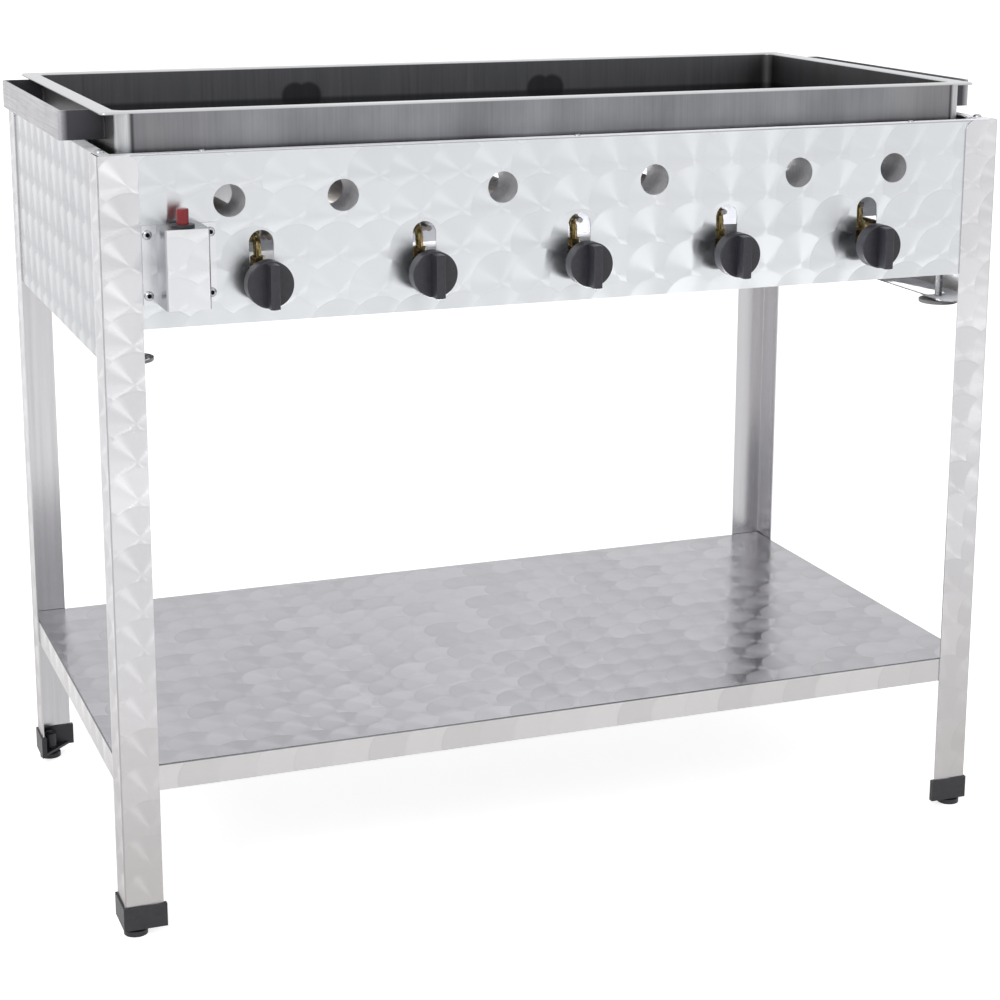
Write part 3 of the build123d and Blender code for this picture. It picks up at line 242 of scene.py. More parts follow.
@dataclass(frozen=True)
class CirclePolished(Finish):
    """Stainless sheet polished on its outer side in rows of overlapping discs, with a plain inner side."""

    tone: str  # The polished side's colour.
    inner: str  # The plain side's colour.
    pitch_mm: tuple[float, float] = (43.5, 39.0)  # The distances between disc centres, across and up.
    disc_mm: float = 33.0  # The discs' radius.
    roughness: float = 0.2  # The polish's roughness.
    contrast: float = 0.2  # How much darker the darkest scratches are.
    level: bool = False  # Whether level faces are polished too.
    flank_shading: str = ""  # Painted light and shade: the colour of faces that look sideways, or of a level sheet's lips, where it differs.
    bend: str = "B2B2B6"  # The colour of the bends: a painted line of shade along each fold.
    floor_shade: float = 0.0  # How strongly painted shade greys the sheet towards the floor.
    inner_roughness: float = 0.15  # The plain side's roughness.
    floor_shade_tone: str = "A39D9A"  # The painted shade's colour.
    floor_shade_z: tuple[float, float] = (0.05, 0.5)  # Between which heights the painted shade thins out, in metres.
    # How much a disc's own tone, its edge and its scratches darken it.
    weights: tuple[float, float, float] = (0.3, 0.1, 0.03)
    # The real scratches and grain are too fine to show, so these are as coarse as they need to be.
    scratch_mm: float = 0.9  # The scratches' distance.
    mill_mm: float = 5.0  # The width of the plain side's grain.

    def paint(self, tree: Tree) -> Feeds:
        """Point the tangent out from the topmost disc, so that each disc throws its own fan of light.

        Args:
            tree: The material's tree.

        Returns:
            The shader's inputs.
        """
        add = tree.add
        x, y, z = add("SeparateXYZ", add("TexCoord").outputs["Object"]).outputs
        normal = add("SeparateXYZ", add("NewGeometry").outputs["True Normal"]).outputs
        facing = [add("Math:ABSOLUTE", part) for part in normal]
        side, flat = (add(">", facing[i], FACING) for i in (0, 2))
        upright = add("-", 1.0, flat)
        # The outer side looks away from the object's middle, or up.
        out_y = add("*", normal[1], add("-", y, MIDDLE_Y))
        out = add("+", add("*", normal[0], x), out_y)
        outward = add(">", add("+", out, add("*", normal[2], 0.5)), 0.0)
        if not self.level:
            outward = add("*", outward, upright)
        off, mark = self._topmost(tree, (add("Mix:FLOAT", side, x, y), add("Mix:FLOAT", flat, z, y)))
        along, up = (add("*", way, outward) for way in off)
        tangent = add(
            "CombineXYZ",
            add("Mix:FLOAT", side, along, 0.0),
            add("Mix:FLOAT", side, add("*", up, flat), along),
            add("Mix:FLOAT", flat, up, 0.0),
        )
        shade = self._shade(tree, add("Math:SQRT", self._square(tree, off)), mark)
        # Faces that look sideways, or a level sheet's lips, take a colour of their own as painted light and shade.
        tones = [tone for tone in (self.tone, self.flank_shading) if tone]
        polish, *turned = (add("Mix:RGBA", shade, srgb(tone), srgb(tone, 1 - self.contrast)) for tone in tones)
        if turned:
            polish = add("Mix:RGBA", upright if self.level else side, polish, *turned)
        # A painted line of shade along the bends.
        straight = add("Math:MAXIMUM", add("Math:MAXIMUM", *facing[:2]), facing[2])
        polish = add("Mix:RGBA", add("<", straight, STRAIGHT), polish, srgb(self.bend))
        # Painted shade that greys the sheet towards the floor.
        if self.floor_shade:
            floor_shaded = add("MapRange", z, *self.floor_shade_z, self.floor_shade, 0.0)
            polish = add("Mix:RGBA", floor_shaded, polish, srgb(self.floor_shade_tone))
        mill = add("MapRange", tree.grain(self.mill_mm, Lay.UPRIGHT.value), *NOISE)
        back = add("Mix:RGBA", mill, srgb(self.inner), srgb(self.inner, 0.9))
        rough = add("MapRange", shade, 0.0, 1.0, self.roughness - 0.02, self.roughness + 0.04)
        return {
            "Base Color": add("Mix:RGBA", outward, back, polish),
            "Metallic": 1.0,
            "Roughness": add("Mix:FLOAT", outward, self.inner_roughness, rough),
            "Anisotropic": 1.0,
            "Tangent": add("VectorMath:ADD", tangent, PLAIN_TANGENT),
        }

    def _shade(self, tree: Tree, radius: Node, mark: Node) -> Node:
        """Work out how deep the scratches are: by the disc, towards its edge and from ring to ring.

        Args:
            tree: The material's tree.
            radius: The distance from the disc's centre.
            mark: A number that differs from disc to disc.

        Returns:
            How dark a point is.
        """
        add = tree.add
        own, rim, fine = self.weights
        disc = self.disc_mm * MM
        edge = add("*", add("MapRange", radius, 0.9 * disc, disc), rim)
        scratch = add("+", add("*", radius, 1 / (self.scratch_mm * MM)), mark)
        ring = add("TexNoise:1D", {"W": scratch, "Scale": 1.0, "Detail": 3.0})
        shade = add("+", add("*", add("TexWhiteNoise:1D", mark), own), edge)
        return add("+", shade, add("MapRange", ring, *NOISE, 0.0, fine))

    @staticmethod
    def _square(tree: Tree, way: Sequence[Node]) -> Node:
        """Square a plane vector's length."""
        return tree.add("+", *(tree.add("*", value, value) for value in way))

    def _topmost(self, tree: Tree, grid: Sequence[Node]) -> tuple[list[Node], Node]:
        """Find the disc that was polished last at a point: a lower row lies over the row above it.

        Args:
            tree: The material's tree.
            grid: The point's two coordinates in the sheet's plane.

        Returns:
            The way from that disc's centre, in metres, and a number that differs from disc to disc.
        """
        add = tree.add
        pitch = [size * MM for size in self.pitch_mm]
        steps = [add("/", value, size) for value, size in zip(grid, pitch)]
        cell = [add("Math:FLOOR", value) for value in steps]
        off: list[Node] = []
        mark: Any = None
        for corner in ((0, 1), (1, 1), (0, 0), (1, 0)):
            spot = [add("+", value, step) for value, step in zip(cell, corner)]
            way = [add("*", add("-", a, b), size) for a, b, size in zip(steps, spot, pitch)]
            number = add("+", *(add("*", part, seed) for part, seed in zip(spot, DISC_SEEDS)))
            if not off:
                off, mark = way, number
                continue
            covers = add("<", self._square(tree, way), (self.disc_mm * MM) ** 2)
            off = [add("Mix:FLOAT", covers, old, new) for old, new in zip(off, way)]
            mark = add("Mix:FLOAT", covers, mark, number)
        return off, mark


@dataclass(frozen=True)
class BrushedSteel(Finish):
    """Steel with a rolled or brushed grain."""

    light: str  # The bright colour of the grain.
    dark: str  # The dark colour of the grain.
    lay: Lay  # The grain's direction.
    roughness: float = 0.36  # The surface's roughness.
    # Coarser than the real grain, which is too fine to show.
    grain_mm: float = 1.5  # The grain's width.
    cloud_mm: float = 90.0  # The size of the slow changes in tone.

    def paint(self, tree: Tree) -> Feeds:
        """Lay the grain over slow changes in tone.

        Args:
            tree: The material's tree.

        Returns:
            The shader's inputs.
        """
        add = tree.add
        grain = tree.grain(self.grain_mm, self.lay.value, FINE)
        cloud = add("*", tree.grain(self.cloud_mm), 0.4)
        mix = add("+", add("*", grain, 0.6), cloud)
        return {
            "Base Color": add("Mix:RGBA", add("MapRange", mix, *CLOUD), srgb(self.dark), srgb(self.light)),
            "Metallic": 1.0,
            "Roughness": add("MapRange", grain, *NOISE, self.roughness - 0.06, self.roughness + 0.06),
            "Normal": add("Bump", {"Strength": 0.04, "Distance": 0.05 * MM, "Height": grain}),
        }


@dataclass(frozen=True)
class PanSteel(Finish):
    """Rolled pan steel: streaked and clouded, with a painted highlight along the rim, bright rounded corners that are
    part weld and part painted highlight, and dark spots.

    Places and widths are in metres, apart from those in _mm.
    """

    light: str = "919296"  # The bright colour of the grain.
    dark: str = "7B7C80"  # The dark colour of the grain.
    highlight_tone: str = "CFD0D2"  # The colour of the painted highlights on the rim and the corners.
    warm: str = "7E746B"  # The faint heat tint beside the corners.
    spot: str = "303033"  # The colour of the dark spots, also of the seasoning, the seams and the painted shade along the lower edge.
    heat: tuple[float, float] = (0.05, 0.5)  # How strong the heat tint is, from patch to patch.
    seasoning: tuple[float, float] = (0.36, 0.54)  # How dark the inside is, from cloud to cloud.
    darkening: float = 0.75  # How dark the painted shade along the lower edge and the seams are.
    # Coarser than the real streaks, which are too fine to show.
    streak_mm: float = 2.2  # The width of the rolling streaks.
    cloud_mm: float = 70.0  # The size of the clouds.
    warm_x: tuple[float, float] = (0.38, 0.46)  # Between which distances from the middle the heat tint comes up.
    rim_z: float = 0.8458  # Where the rim's flat starts, and with it the painted highlight.
    low_shade_z: float = 0.8125  # Where the painted shade along the lower edge ends.
    blur: float = 0.004  # The width of a soft edge.
    # Between which distances from a corner's start the seam's dark line ends.
    seam: tuple[float, float] = (0.001, 0.003)
    # Where the skirt's round corners start, across and along from the middle.
    corner: tuple[float, float] = (0.4585, 0.2225)
    # Where the seasoned inside ends, across and along from the middle.
    hollow: tuple[float, float] = (0.4712, 0.2207)
    # The spots' place from the middle, depth and height, their lobes' radius and half distance.
    spot_mm: tuple[float, float, float, float, float] = (158.0, 238.5, 813.0, 18.0, 8.5)
    # The corner stain's place from the middle, radius and soft edge.
    stain: tuple[float, float, float] = (0.468, 0.045, 0.025)

    def paint(self, tree: Tree) -> Feeds:
        """Lay heat, seasoning, painted shade along the lower edge, seams, painted highlights and spots over the
        streaked steel.

        Args:
            tree: The material's tree.

        Returns:
            The shader's inputs.
        """
        add = tree.add
        point = add("TexCoord").outputs["Object"]
        x, y, z = add("SeparateXYZ", point).outputs
        ways = across, along = add("Math:ABSOLUTE", x), add("Math:ABSOLUTE", add("-", y, MIDDLE_Y))
        streak = tree.grain(self.streak_mm, Lay.UPRIGHT.value, FINE)
        cloud = tree.grain(self.cloud_mm, (1, 1, 0.6))
        mix = add("+", add("*", streak, 0.3), add("*", cloud, 0.7))
        patches = add("MapRange", cloud, 0.4, 0.6, *self.heat)
        heat = add("*", add("MapRange", across, *self.warm_x), patches)
        inside = add("*", *(add("<", way, end) for way, end in zip(ways, self.hollow)))
        seasoned = add("*", inside, add("MapRange", cloud, *CLOUD, *self.seasoning))
        # Painted shade along the skirt's lower edge, below the panel's edge.
        darkening = add("MapRange", z, self.low_shade_z - self.blur, self.low_shade_z, self.darkening, 0.0)
        bends = [add("MapRange", way, start, start + self.blur) for way, start in zip(ways, self.corner)]
        beside = add("Math:ABSOLUTE", add("-", across, self.corner[0]))
        seam = add("*", add("MapRange", beside, *self.seam, self.darkening, 0.0), bends[1])
        # Painted highlight: a line along the top of the rim, and streaked bands on the skirt's rounded corners, part
        # weld and part painted highlight.
        rim = add("MapRange", z, self.rim_z, self.rim_z + MM)
        weld = add("*", add("*", *bends), add("MapRange", streak, *NOISE, 0.55, 0.9))
        bright = add("Math:MAXIMUM", rim, weld)
        below = add("*", seam, add("-", 1.0, rim))
        steel = add("Mix:RGBA", add("MapRange", mix, 0.36, 0.64), srgb(self.dark), srgb(self.light))
        for share, tone in (
            (heat, self.warm),
            (seasoned, self.spot),
            (darkening, self.spot),
            (below, self.spot),
            (bright, self.highlight_tone),
            (self._spots(tree, point), self.spot),
        ):
            steel = add("Mix:RGBA", share, steel, srgb(tone))
        return {
            "Base Color": steel,
            "Metallic": 1.0,
            "Roughness": add("Mix:FLOAT", bright, add("MapRange", streak, *NOISE, 0.36, 0.46), 0.3),
            "Normal": add("Bump", {"Strength": 0.08, "Distance": 0.1 * MM, "Height": streak}),
        }

    def _spots(self, tree: Tree, point: Socket) -> Node:
        """Mark the two double spots on the rear wall and the stain in its right corner.

        Args:
            tree: The material's tree.
            point: The coordinates' socket.

        Returns:
            How dark a point is.
        """
        out, depth, height, radius, half = (value * MM for value in self.spot_mm)
        lobes = [(middle + lobe, radius, self.blur, 0.8) for middle in (-out, out) for lobe in (-half, half)]
        marks: Any = None
        for x, reach, soft, strength in ((*self.stain, 0.45), *lobes):
            way = tree.add("VectorMath:DISTANCE", point, (x, depth, height))
            near = tree.add("MapRange", way, reach - soft, reach, 1.0, 0.0)
            mark = tree.add("*", near, strength)
            marks = tree.add("Math:MAXIMUM", marks, mark) if marks else mark
        return marks


@dataclass(frozen=True)
class HandleSteel(Finish):
    """Strip steel, with a painted highlight on the grip's outer face and painted shade on the arms."""

    bright: str = "C6C6CA"  # The grip's colour, a painted highlight.
    dark: str = "48484C"  # The arms' colour, painted shade.
    worn: str = "55555A"  # The colour of the streaks.
    grip: tuple[float, float] = (0.510, 0.5186)  # Where the grip's face starts and ends, from the middle.
    # Coarser than the real streaks, which are too fine to show.
    streak_mm: float = 1.6  # The streaks' width.
    cloud_mm: float = 40.0  # The size of the slow changes in tone.

    def paint(self, tree: Tree) -> Feeds:
        """Part the grip's painted highlight from the arms' painted shade and streak both.

        Args:
            tree: The material's tree.

        Returns:
            The shader's inputs.
        """
        add = tree.add
        streak = tree.grain(self.streak_mm, Lay.ALONG_Y.value, FINE)
        x = add("SeparateXYZ", add("TexCoord").outputs["Object"]).outputs["X"]
        # The grip's outer face gets a painted highlight, the arms painted shade.
        face = add("MapRange", add("Math:ABSOLUTE", x), *self.grip)
        base = add("Mix:RGBA", face, srgb(self.dark), srgb(self.bright))
        mix = add("+", streak, tree.grain(self.cloud_mm))
        return {
            "Base Color": add("Mix:RGBA", add("MapRange", mix, 0.8, 1.2, 0.0, 0.25), base, srgb(self.worn)),
            "Metallic": 1.0,
            "Roughness": add("MapRange", streak, *NOISE, 0.3, 0.42),
            "Normal": add("Bump", {"Strength": 0.1, "Distance": 0.1 * MM, "Height": streak}),
        }


@dataclass(frozen=True)
class Speckled(Finish):
    """A finish whose colour and roughness vary a little, for mouldings, plating, brass and ceramic."""

    light: str  # The brighter colour.
    dark: str  # The darker colour.
    roughness: float  # The surface's roughness.
    metallic: float = 0.0  # How metallic the surface is.
    speck_mm: float = 4.0  # The size of the variation.
    # As fine as a moulded or plated skin really is: it only takes the edge off the highlights.
    texture_mm: float = 0.6  # The size of the surface's bumps.
    recess: str = "17181A"  # The colour of the painted shade in the marked recesses.

    def paint(self, tree: Tree) -> Feeds:
        """Speckle the surface and paint shade into the marked recesses.

        Args:
            tree: The material's tree.

        Returns:
            The shader's inputs.
        """
        add = tree.add
        speck = tree.grain(self.speck_mm)
        base = add("Mix:RGBA", add("MapRange", speck, *NOISE), srgb(self.dark), srgb(self.light))
        # Painted shade in the recesses that the screws' templates mark.
        deep = add("Attribute", attribute_name="recess").outputs["Fac"]
        texture = tree.grain(self.texture_mm)
        return {
            "Base Color": add("Mix:RGBA", deep, base, srgb(self.recess)),
            "Metallic": self.metallic,
            "Roughness": add("MapRange", speck, *NOISE, self.roughness - 0.05, self.roughness + 0.05),
            "Normal": add("Bump", {"Strength": 0.05, "Distance": 0.1 * MM, "Height": texture}),
        }


@dataclass(frozen=True)
class FootFinish(Finish):
    """A plastic pad under a plated screw."""

    pad: str = "808082"  # The pad's colour.
    screw: str = "C2C4C6"  # The plating's colour.
    soil: str = "3C3C40"  # The colour of the specks.
    pad_top: float = 0.6033  # Where the pad ends, in metres.
    speck_mm: float = 3.0  # The specks' size.

    def paint(self, tree: Tree) -> Feeds:
        """Part the screw from the pad and speckle both.

        Args:
            tree: The material's tree.

        Returns:
            The shader's inputs.
        """
        add = tree.add
        z = add("SeparateXYZ", add("TexCoord").outputs["Object"]).outputs["Z"]
        metal = add(">", z, self.pad_top)
        speck = add("MapRange", tree.grain(self.speck_mm), *NOISE, 0.0, 0.3)
        base = add("Mix:RGBA", metal, srgb(self.pad), srgb(self.screw))
        return {
            "Base Color": add("Mix:RGBA", speck, base, srgb(self.soil)),
            "Metallic": metal,
            "Roughness": add("Mix:FLOAT", metal, 0.5, 0.28),
            "Normal": add("Bump", {"Strength": 0.08, "Distance": 0.1 * MM, "Height": speck}),
        }


@dataclass(frozen=True)
class PaleFloor(Finish):
    """A matt pale floor that adds light of its own, so that it looks as white as the backdrop."""

    tone: str = "F6F6F7"  # The floor's colour.
    glow: float = 0.45  # What it gives to sight and reflections beyond its lighting.
    white: float = 0.25  # What it gives to sight alone.

    def paint(self, tree: Tree) -> Feeds:
        """Add the floor's own light to its colour.

        Args:
            tree: The material's tree.

        Returns:
            The shader's inputs.
        """
        sight = tree.add("LightPath").outputs["Is Camera Ray"]
        shine = [tree.add("*", *pair) for pair in ((tree.seen(), self.glow), (sight, self.white))]
        return {
            "Base Color": srgb(self.tone),
            "Roughness": 0.9,
            "Specular IOR Level": 0.1,
            "Emission Color": WHITE,
            "Emission Strength": tree.add("+", *shine),
        }


FINISHES: tuple[Finish, ...] = (
    # Bright sheet in which every disc turns its own fan of light to the eye; the side panels are painted darker as
    # shade.
    CirclePolished("circle_polished_panel", "DCDFE2", "D6D7DA", flank_shading="CBCDD1", inner_roughness=0.45),
    # The same polish, softer, with painted shade that greys it towards the floor.
    CirclePolished("circle_polished_leg", "E2E2E5", "CBCACC", (42.8, 39.0), roughness=0.3, contrast=0.38, floor_shade=0.62),
    # A bright front with its sides and top painted darker as shade, which sets the igniter's box off from the panel.
    CirclePolished("circle_polished_cover", "E2E3E6", "9C9EA2", flank_shading="A4A6AB"),
    # Smooth sheet that catches light inside the box and shows it through the holes.
    BrushedSteel("bright_carrier_steel", "D4D5D8", "C2C3C7", Lay.ALONG_X, 0.16),
    # A grey scaled mirror in which the rear leg shows, its darker tone painted shade from the box above, with a lip
    # painted paler as light and a painted line of shade along the fold.
    CirclePolished(
        "circle_polished_shelf", "B5B4B9", "B0B0B2", (41.0, 41.0), 31.0, 0.17, 0.4, True, "CCCACA", "7A7A80"
    ),
    # Dull sheet with a faint lengthwise grain.
    BrushedSteel("mill_finish_stainless", "C4C5C8", "ABACB0", Lay.ALONG_X),
    # Steel that has gone faintly straw-coloured from the flame.
    BrushedSteel("heat_tinted_burner_steel", "D8D4CE", "BAB4AD", Lay.ALONG_Y, 0.45),
    # Dark rolled steel with upright streaks, with a painted highlight along the rim and bright corners that are part
    # weld and part painted highlight.
    PanSteel("rolled_pan_steel"),
    # A brushed grip painted pale as a highlight, on arms painted dark as shade.
    HandleSteel("strip_handle_steel"),
    # A grey pad under a bright screw.
    FootFinish("pad_and_plated_screw"),
    # Dull yellow glints in the slots.
    Speckled("drawn_brass", "8F805A", "716240", 0.25, 1.0),
    # Thin stainless with a brownish cast from the heat.
    Speckled("sensor_sheath_steel", "A39E99", "85807B", 0.35, 1.0),
    # Small bright heads and nuts, with painted shade in the screws' recesses.
    Speckled("zinc_plated_steel", "C6C8CB", "ADB0B4", 0.26, 1.0),
    # Dark ripples where a handle meets the pan.
    Speckled("weld_bead_steel", "62605E", "484644", 0.45, 1.0, 2.0),
    # Black plastic with a soft sheen on its edges.
    Speckled("black_shoe_plastic", "2E2E33", "242428", 0.42),
    # The same, a little glossier.
    Speckled("black_knob_plastic", "34343B", "2A2A31", 0.38),
    # A pale, matt wall inside each air hole.
    Speckled("drawn_sleeve_steel", "C8C8CA", "B4B4B6", 0.5, 0.2),
    # The only strong colour, with a small highlight.
    Speckled("red_button_plastic", "94171E", "7E1117", 0.24),
    # A matt brown-black lead.
    Speckled("silicone_lead_sleeve", "3A3230", "2C2624", 0.6),
    # A glossy cream insulator.
    Speckled("glazed_ceramic", "EAE6DC", "DAD5C8", 0.2),
)


def turns(steps: int) -> list[float]:
    """List the angles of evenly spaced points round an axis."""
    return [2 * math.pi * i / steps for i in range(steps)]


def skin(shape: bmesh.types.BMesh, loops: Sequence[Sequence[bmesh.types.BMVert]]) -> None:
    """Lay faces between rings of points.

    Args:
        shape: The shape that the points are in.
        loops: The rings, in order.
    """
    for low, high in zip(loops, loops[1:]):
        for i in range(len(low)):
            j = (i + 1) % len(low)
            shape.faces.new((low[i], low[j], high[j], high[i]))


def template(shape: bmesh.types.BMesh, name: str, creased: bool = True) -> Piece:
    """Turn a shape into a smoothly shaded template for a node tool.

    Args:
        shape: The shape, which is freed.
        name: The template's name.
        creased: Whether its sharp edges stay sharp.

    Returns:
        The template.
    """
    mesh = bpy.data.meshes.new(name)
    shape.to_mesh(mesh)
    shape.free()
    mesh.shade_smooth()
    if creased:
        mesh.set_sharp_from_angle(angle=SHARP_EDGE)
    return bpy.data.objects.new(name, mesh)


@dataclass(frozen=True)
class ScrewHead:
    """A round-headed screw in millimetres, its seat at the origin and its head up."""

    radius: float = 4.8  # The head's radius.
    height: float = 3.0  # The head's height.
    shank: float = 2.0  # The shank's radius.
    length: float = 7.0  # The shank's length.
    drive: Drive = Drive.HEX  # The recess's kind.
    recess: float = 2.1  # Half the recess's width.
    steps: int = 48  # Points round the head.
    tip: tuple[float, float] = (0.7, 0.7)  # The shank's tip: its part of the radius and its height.
    # The head's outline, as parts of its radius and height.
    crown: tuple[tuple[float, float], ...] = (
        (1.0, 0.0), (1.0, 0.18), (0.96, 0.42), (0.86, 0.68), (0.72, 0.87), (0.58, 0.98)
    )
    floor: float = 0.4  # The height of the recess's floor, as a part of the head's.

    def build(self) -> Piece:
        """Make the screw as rings from its tip to the floor of its recess.

        Returns:
            The screw's template, with its recess marked for painted shade.
        """
        around = turns(self.steps)
        edge = [self.drive.edge(turn, self.recess) for turn in around]
        floor = self.height * self.floor
        rings = [(self.shank * self.tip[0], -self.length), (self.shank, self.tip[1] - self.length), (self.shank, 0.0)]
        rings += [(self.radius * out, self.height * up) for out, up in self.crown]
        levels = [([out] * self.steps, up, 0.0) for out, up in rings]
        # The recess's rings are marked for painted shade.
        levels += [(edge, self.height, 0.0), (edge, self.height * 0.97, 1.0), ([e * 0.9 for e in edge], floor, 1.0)]
        shape = bmesh.new()
        deep = shape.verts.layers.float.new("recess")
        loops = []
        for radii, up, mark in levels:
            ring = [(r * math.cos(t) * MM, r * math.sin(t) * MM, up * MM) for r, t in zip(radii, around)]
            loops.append([shape.verts.new(co) for co in ring])
            for vert in loops[-1]:
                vert[deep] = mark
        skin(shape, loops)
        for loop, up, mark, way in ((loops[0], -self.length, 0.0, -1), (loops[-1], floor, 1.0, 1)):
            centre = shape.verts.new((0.0, 0.0, up * MM))
            centre[deep] = mark
            for pair in zip(loop, loop[1:] + loop[:1]):
                shape.faces.new((*pair[::way], centre))
        return template(shape, "screw")


@dataclass(frozen=True)
class WeldRipple:
    """One ripple of a weld in millimetres, lying along the vertical seam."""

    size: tuple[float, float, float] = (1.5, 1.5, 0.95)  # Its half lengths.
    tail: float = 0.35  # How far its edge is pulled down.

    def build(self) -> Piece:
        """Make the ripple: a flattened ball whose edge is pulled down.

        Returns:
            The ripple's template.
        """
        shape = bmesh.new()
        bmesh.ops.create_icosphere(shape, subdivisions=3, radius=1.0)
        for vert in shape.verts:
            drop = self.tail * (vert.co.x**2 + vert.co.y**2)
            x, y, z = (value * half for value, half in zip(vert.co, self.size))
            vert.co = Vector((x, y, z - drop)) * MM
        return template(shape, "ripple", False)


@dataclass(frozen=True)
class Sleeve:
    """A short open tube in millimetres, its mouth at the origin and its length along the depth axis."""

    bore: float = 16.4  # The bore's radius.
    wall: float = 0.9  # The wall's thickness.
    length: float = 55.0  # The tube's length.
    steps: int = 64  # Points round the tube.

    def build(self) -> Piece:
        """Make the tube as four rings.

        Returns:
            The tube's template.
        """
        outer = self.bore + self.wall
        shape = bmesh.new()
        loops = []
        for radius, depth in ((self.bore, 0.0), (self.bore, self.length), (outer, self.length), (outer, 0.0)):
            ring = [(radius * math.cos(t) * MM, depth * MM, radius * math.sin(t) * MM) for t in turns(self.steps)]
            loops.append([shape.verts.new(co) for co in ring])
        skin(shape, loops + loops[:1])
        bmesh.ops.recalc_face_normals(shape, faces=shape.faces)
        return template(shape, "sleeve")


class NodeTool:
    """A Geometry Nodes group that sets a shape on points and is baked into a plain mesh."""

    def __init__(self, name: str, sockets: Sequence[tuple[str, str]]) -> None:
        """Make the group with its named inputs.

        Args:
            name: The group's name.
            sockets: Its own inputs' names and socket types.
        """
        group = bpy.data.node_groups.new(name, "GeometryNodeTree")
        group.interface.new_socket("Geometry", in_out="INPUT", socket_type="NodeSocketGeometry")
        shared = ("Turn", "NodeSocketVector"), ("Material", "NodeSocketMaterial")
        self.keys = {
            key: group.interface.new_socket(key, in_out="INPUT", socket_type=kind).identifier
            for key, kind in (*sockets, *shared)
        }
        group.interface.new_socket("Geometry", in_out="OUTPUT", socket_type="NodeSocketGeometry")
        self.group = group
        self.tree = Tree(group)
        self.start = self.tree.add("NodeGroupInput").outputs

    def close(self, shape: Any) -> None:
        """End the group: set a shape on its points, realise it and give it its material.

        Args:
            shape: The shape's node or socket.
        """
        add = self.tree.add
        turn = add("FunctionNodeEulerToRotation", self.start["Turn"])
        feeds = {"Points": self.start["Geometry"], "Instance": shape, "Rotation": turn}
        real = add("GeometryNodeRealizeInstances", add("GeometryNodeInstanceOnPoints", feeds))
        dressed = add("GeometryNodeSetMaterial", {"Geometry": real, "Material": self.start["Material"]})
        add("NodeGroupOutput", dressed)

    def bake(
        self, name: str, points: Points, material: bpy.types.Material, turn: Triple = UPWARD, **inputs: Any
    ) -> Piece:
        """Run the group on a set of points.

        Args:
            name: The new piece's name.
            points: Where the group sets its shapes, in metres.
            material: Their material.
            turn: Their turn about each axis, in radians.
            inputs: The group's own inputs by name. A template is gone afterwards.

        Returns:
            The piece, with a plain mesh and no modifier.
        """
        mesh = bpy.data.meshes.new(name)
        mesh.from_pydata([tuple(point) for point in points], [], [])
        piece = bpy.data.objects.new(name, mesh)
        bpy.context.scene.collection.objects.link(piece)
        modifier = piece.modifiers.new("place", "NODES")
        modifier.node_group = self.group
        for key, value in (inputs | {"Turn": turn, "Material": material}).items():
            modifier[self.keys[key]] = value
        bpy.context.view_layer.update()
        ready = piece.evaluated_get(bpy.context.evaluated_depsgraph_get())
        baked = bpy.data.meshes.new_from_object(ready)
        piece.modifiers.clear()
        piece.data = baked
        baked.name = name
        if "Template" in inputs:
            bpy.data.meshes.remove(inputs["Template"].data)
        return piece


class Setter(NodeTool):
    """Sets one shape on many points."""

    def __init__(self) -> None:
        """Make the group."""
        super().__init__("set_on_points", (("Template", "NodeSocketObject"),))
        info = self.tree.add("GeometryNodeObjectInfo", {"Object": self.start["Template"]})
        self.close(info.outputs["Geometry"])


class Threader(NodeTool):
    """Winds a screw thread from each of many points."""

    def __init__(self) -> None:
        """Make the group: a helix with a six-sided wire round it."""
        sizes = ("Radius", "Wire", "Turns", "Length")
        super().__init__("wind_threads", [(key, "NodeSocketFloat") for key in sizes])
        radius, wire, rounds, length = (self.start[key] for key in sizes)
        feeds = {"Resolution": 24, "Rotations": rounds, "Height": length, "Start Radius": radius, "End Radius": radius}
        helix = self.tree.add("GeometryNodeCurveSpiral", feeds)
        outline = self.tree.add("GeometryNodeCurvePrimitiveCircle", {"Resolution": 6, "Radius": wire})
        feeds = {"Curve": helix, "Profile Curve": outline, "Fill Caps": True}
        self.close(self.tree.add("GeometryNodeCurveToMesh", feeds))

    @staticmethod
    def inputs(size: Triple, length: float) -> dict[str, float]:
        """Name the inputs for a thread's radius, wire and pitch, and for its length."""
        radius, wire, pitch = size
        return {"Radius": radius, "Wire": wire, "Turns": length / pitch, "Length": length}


class Workshop:
    """The materials and the node tools that every sub-assembly shares."""

    def __init__(self) -> None:
        """Make the materials and the tools."""
        self.materials = {finish.name: finish.build() for finish in FINISHES}
        self.setter = Setter()
        self.threader = Threader()

    def join(self, piece: Piece, body: str, slot: str, *replaced: str) -> None:
        """Make a piece part of the object.

        Args:
            piece: The piece.
            body: The CAD body it rides on.
            slot: A material slot's name; not used.
            replaced: The CAD nodes that it stands for.
        """
        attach(piece, body)
        if replaced:
            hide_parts(*replaced)
        log.info("%s rides %s, %d faces", piece.name, body, len(piece.data.polygons))


def islands(node: str) -> list[tuple[Vector, Vector]]:
    """Find the separate solids of a CAD node.

    Args:
        node: The node's name.

    Returns:
        Each solid's lowest and highest corner, in metres.
    """
    shape = bmesh.new()
    shape.from_mesh(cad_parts[node].data)
    bmesh.ops.remove_doubles(shape, verts=shape.verts, dist=1e-6)
    boxes, left = [], set(shape.verts)
    for first in shape.verts:
        if first not in left:
            continue
        queue, found = [first], []
        left.remove(first)
        while queue:
            vert = queue.pop()
            found.append(vert.co.copy())
            fresh = left & {edge.other_vert(vert) for edge in vert.link_edges}
            left -= fresh
            queue.extend(fresh)
        boxes.append((Vector(map(min, zip(*found))), Vector(map(max, zip(*found)))))
    shape.free()
    return boxes


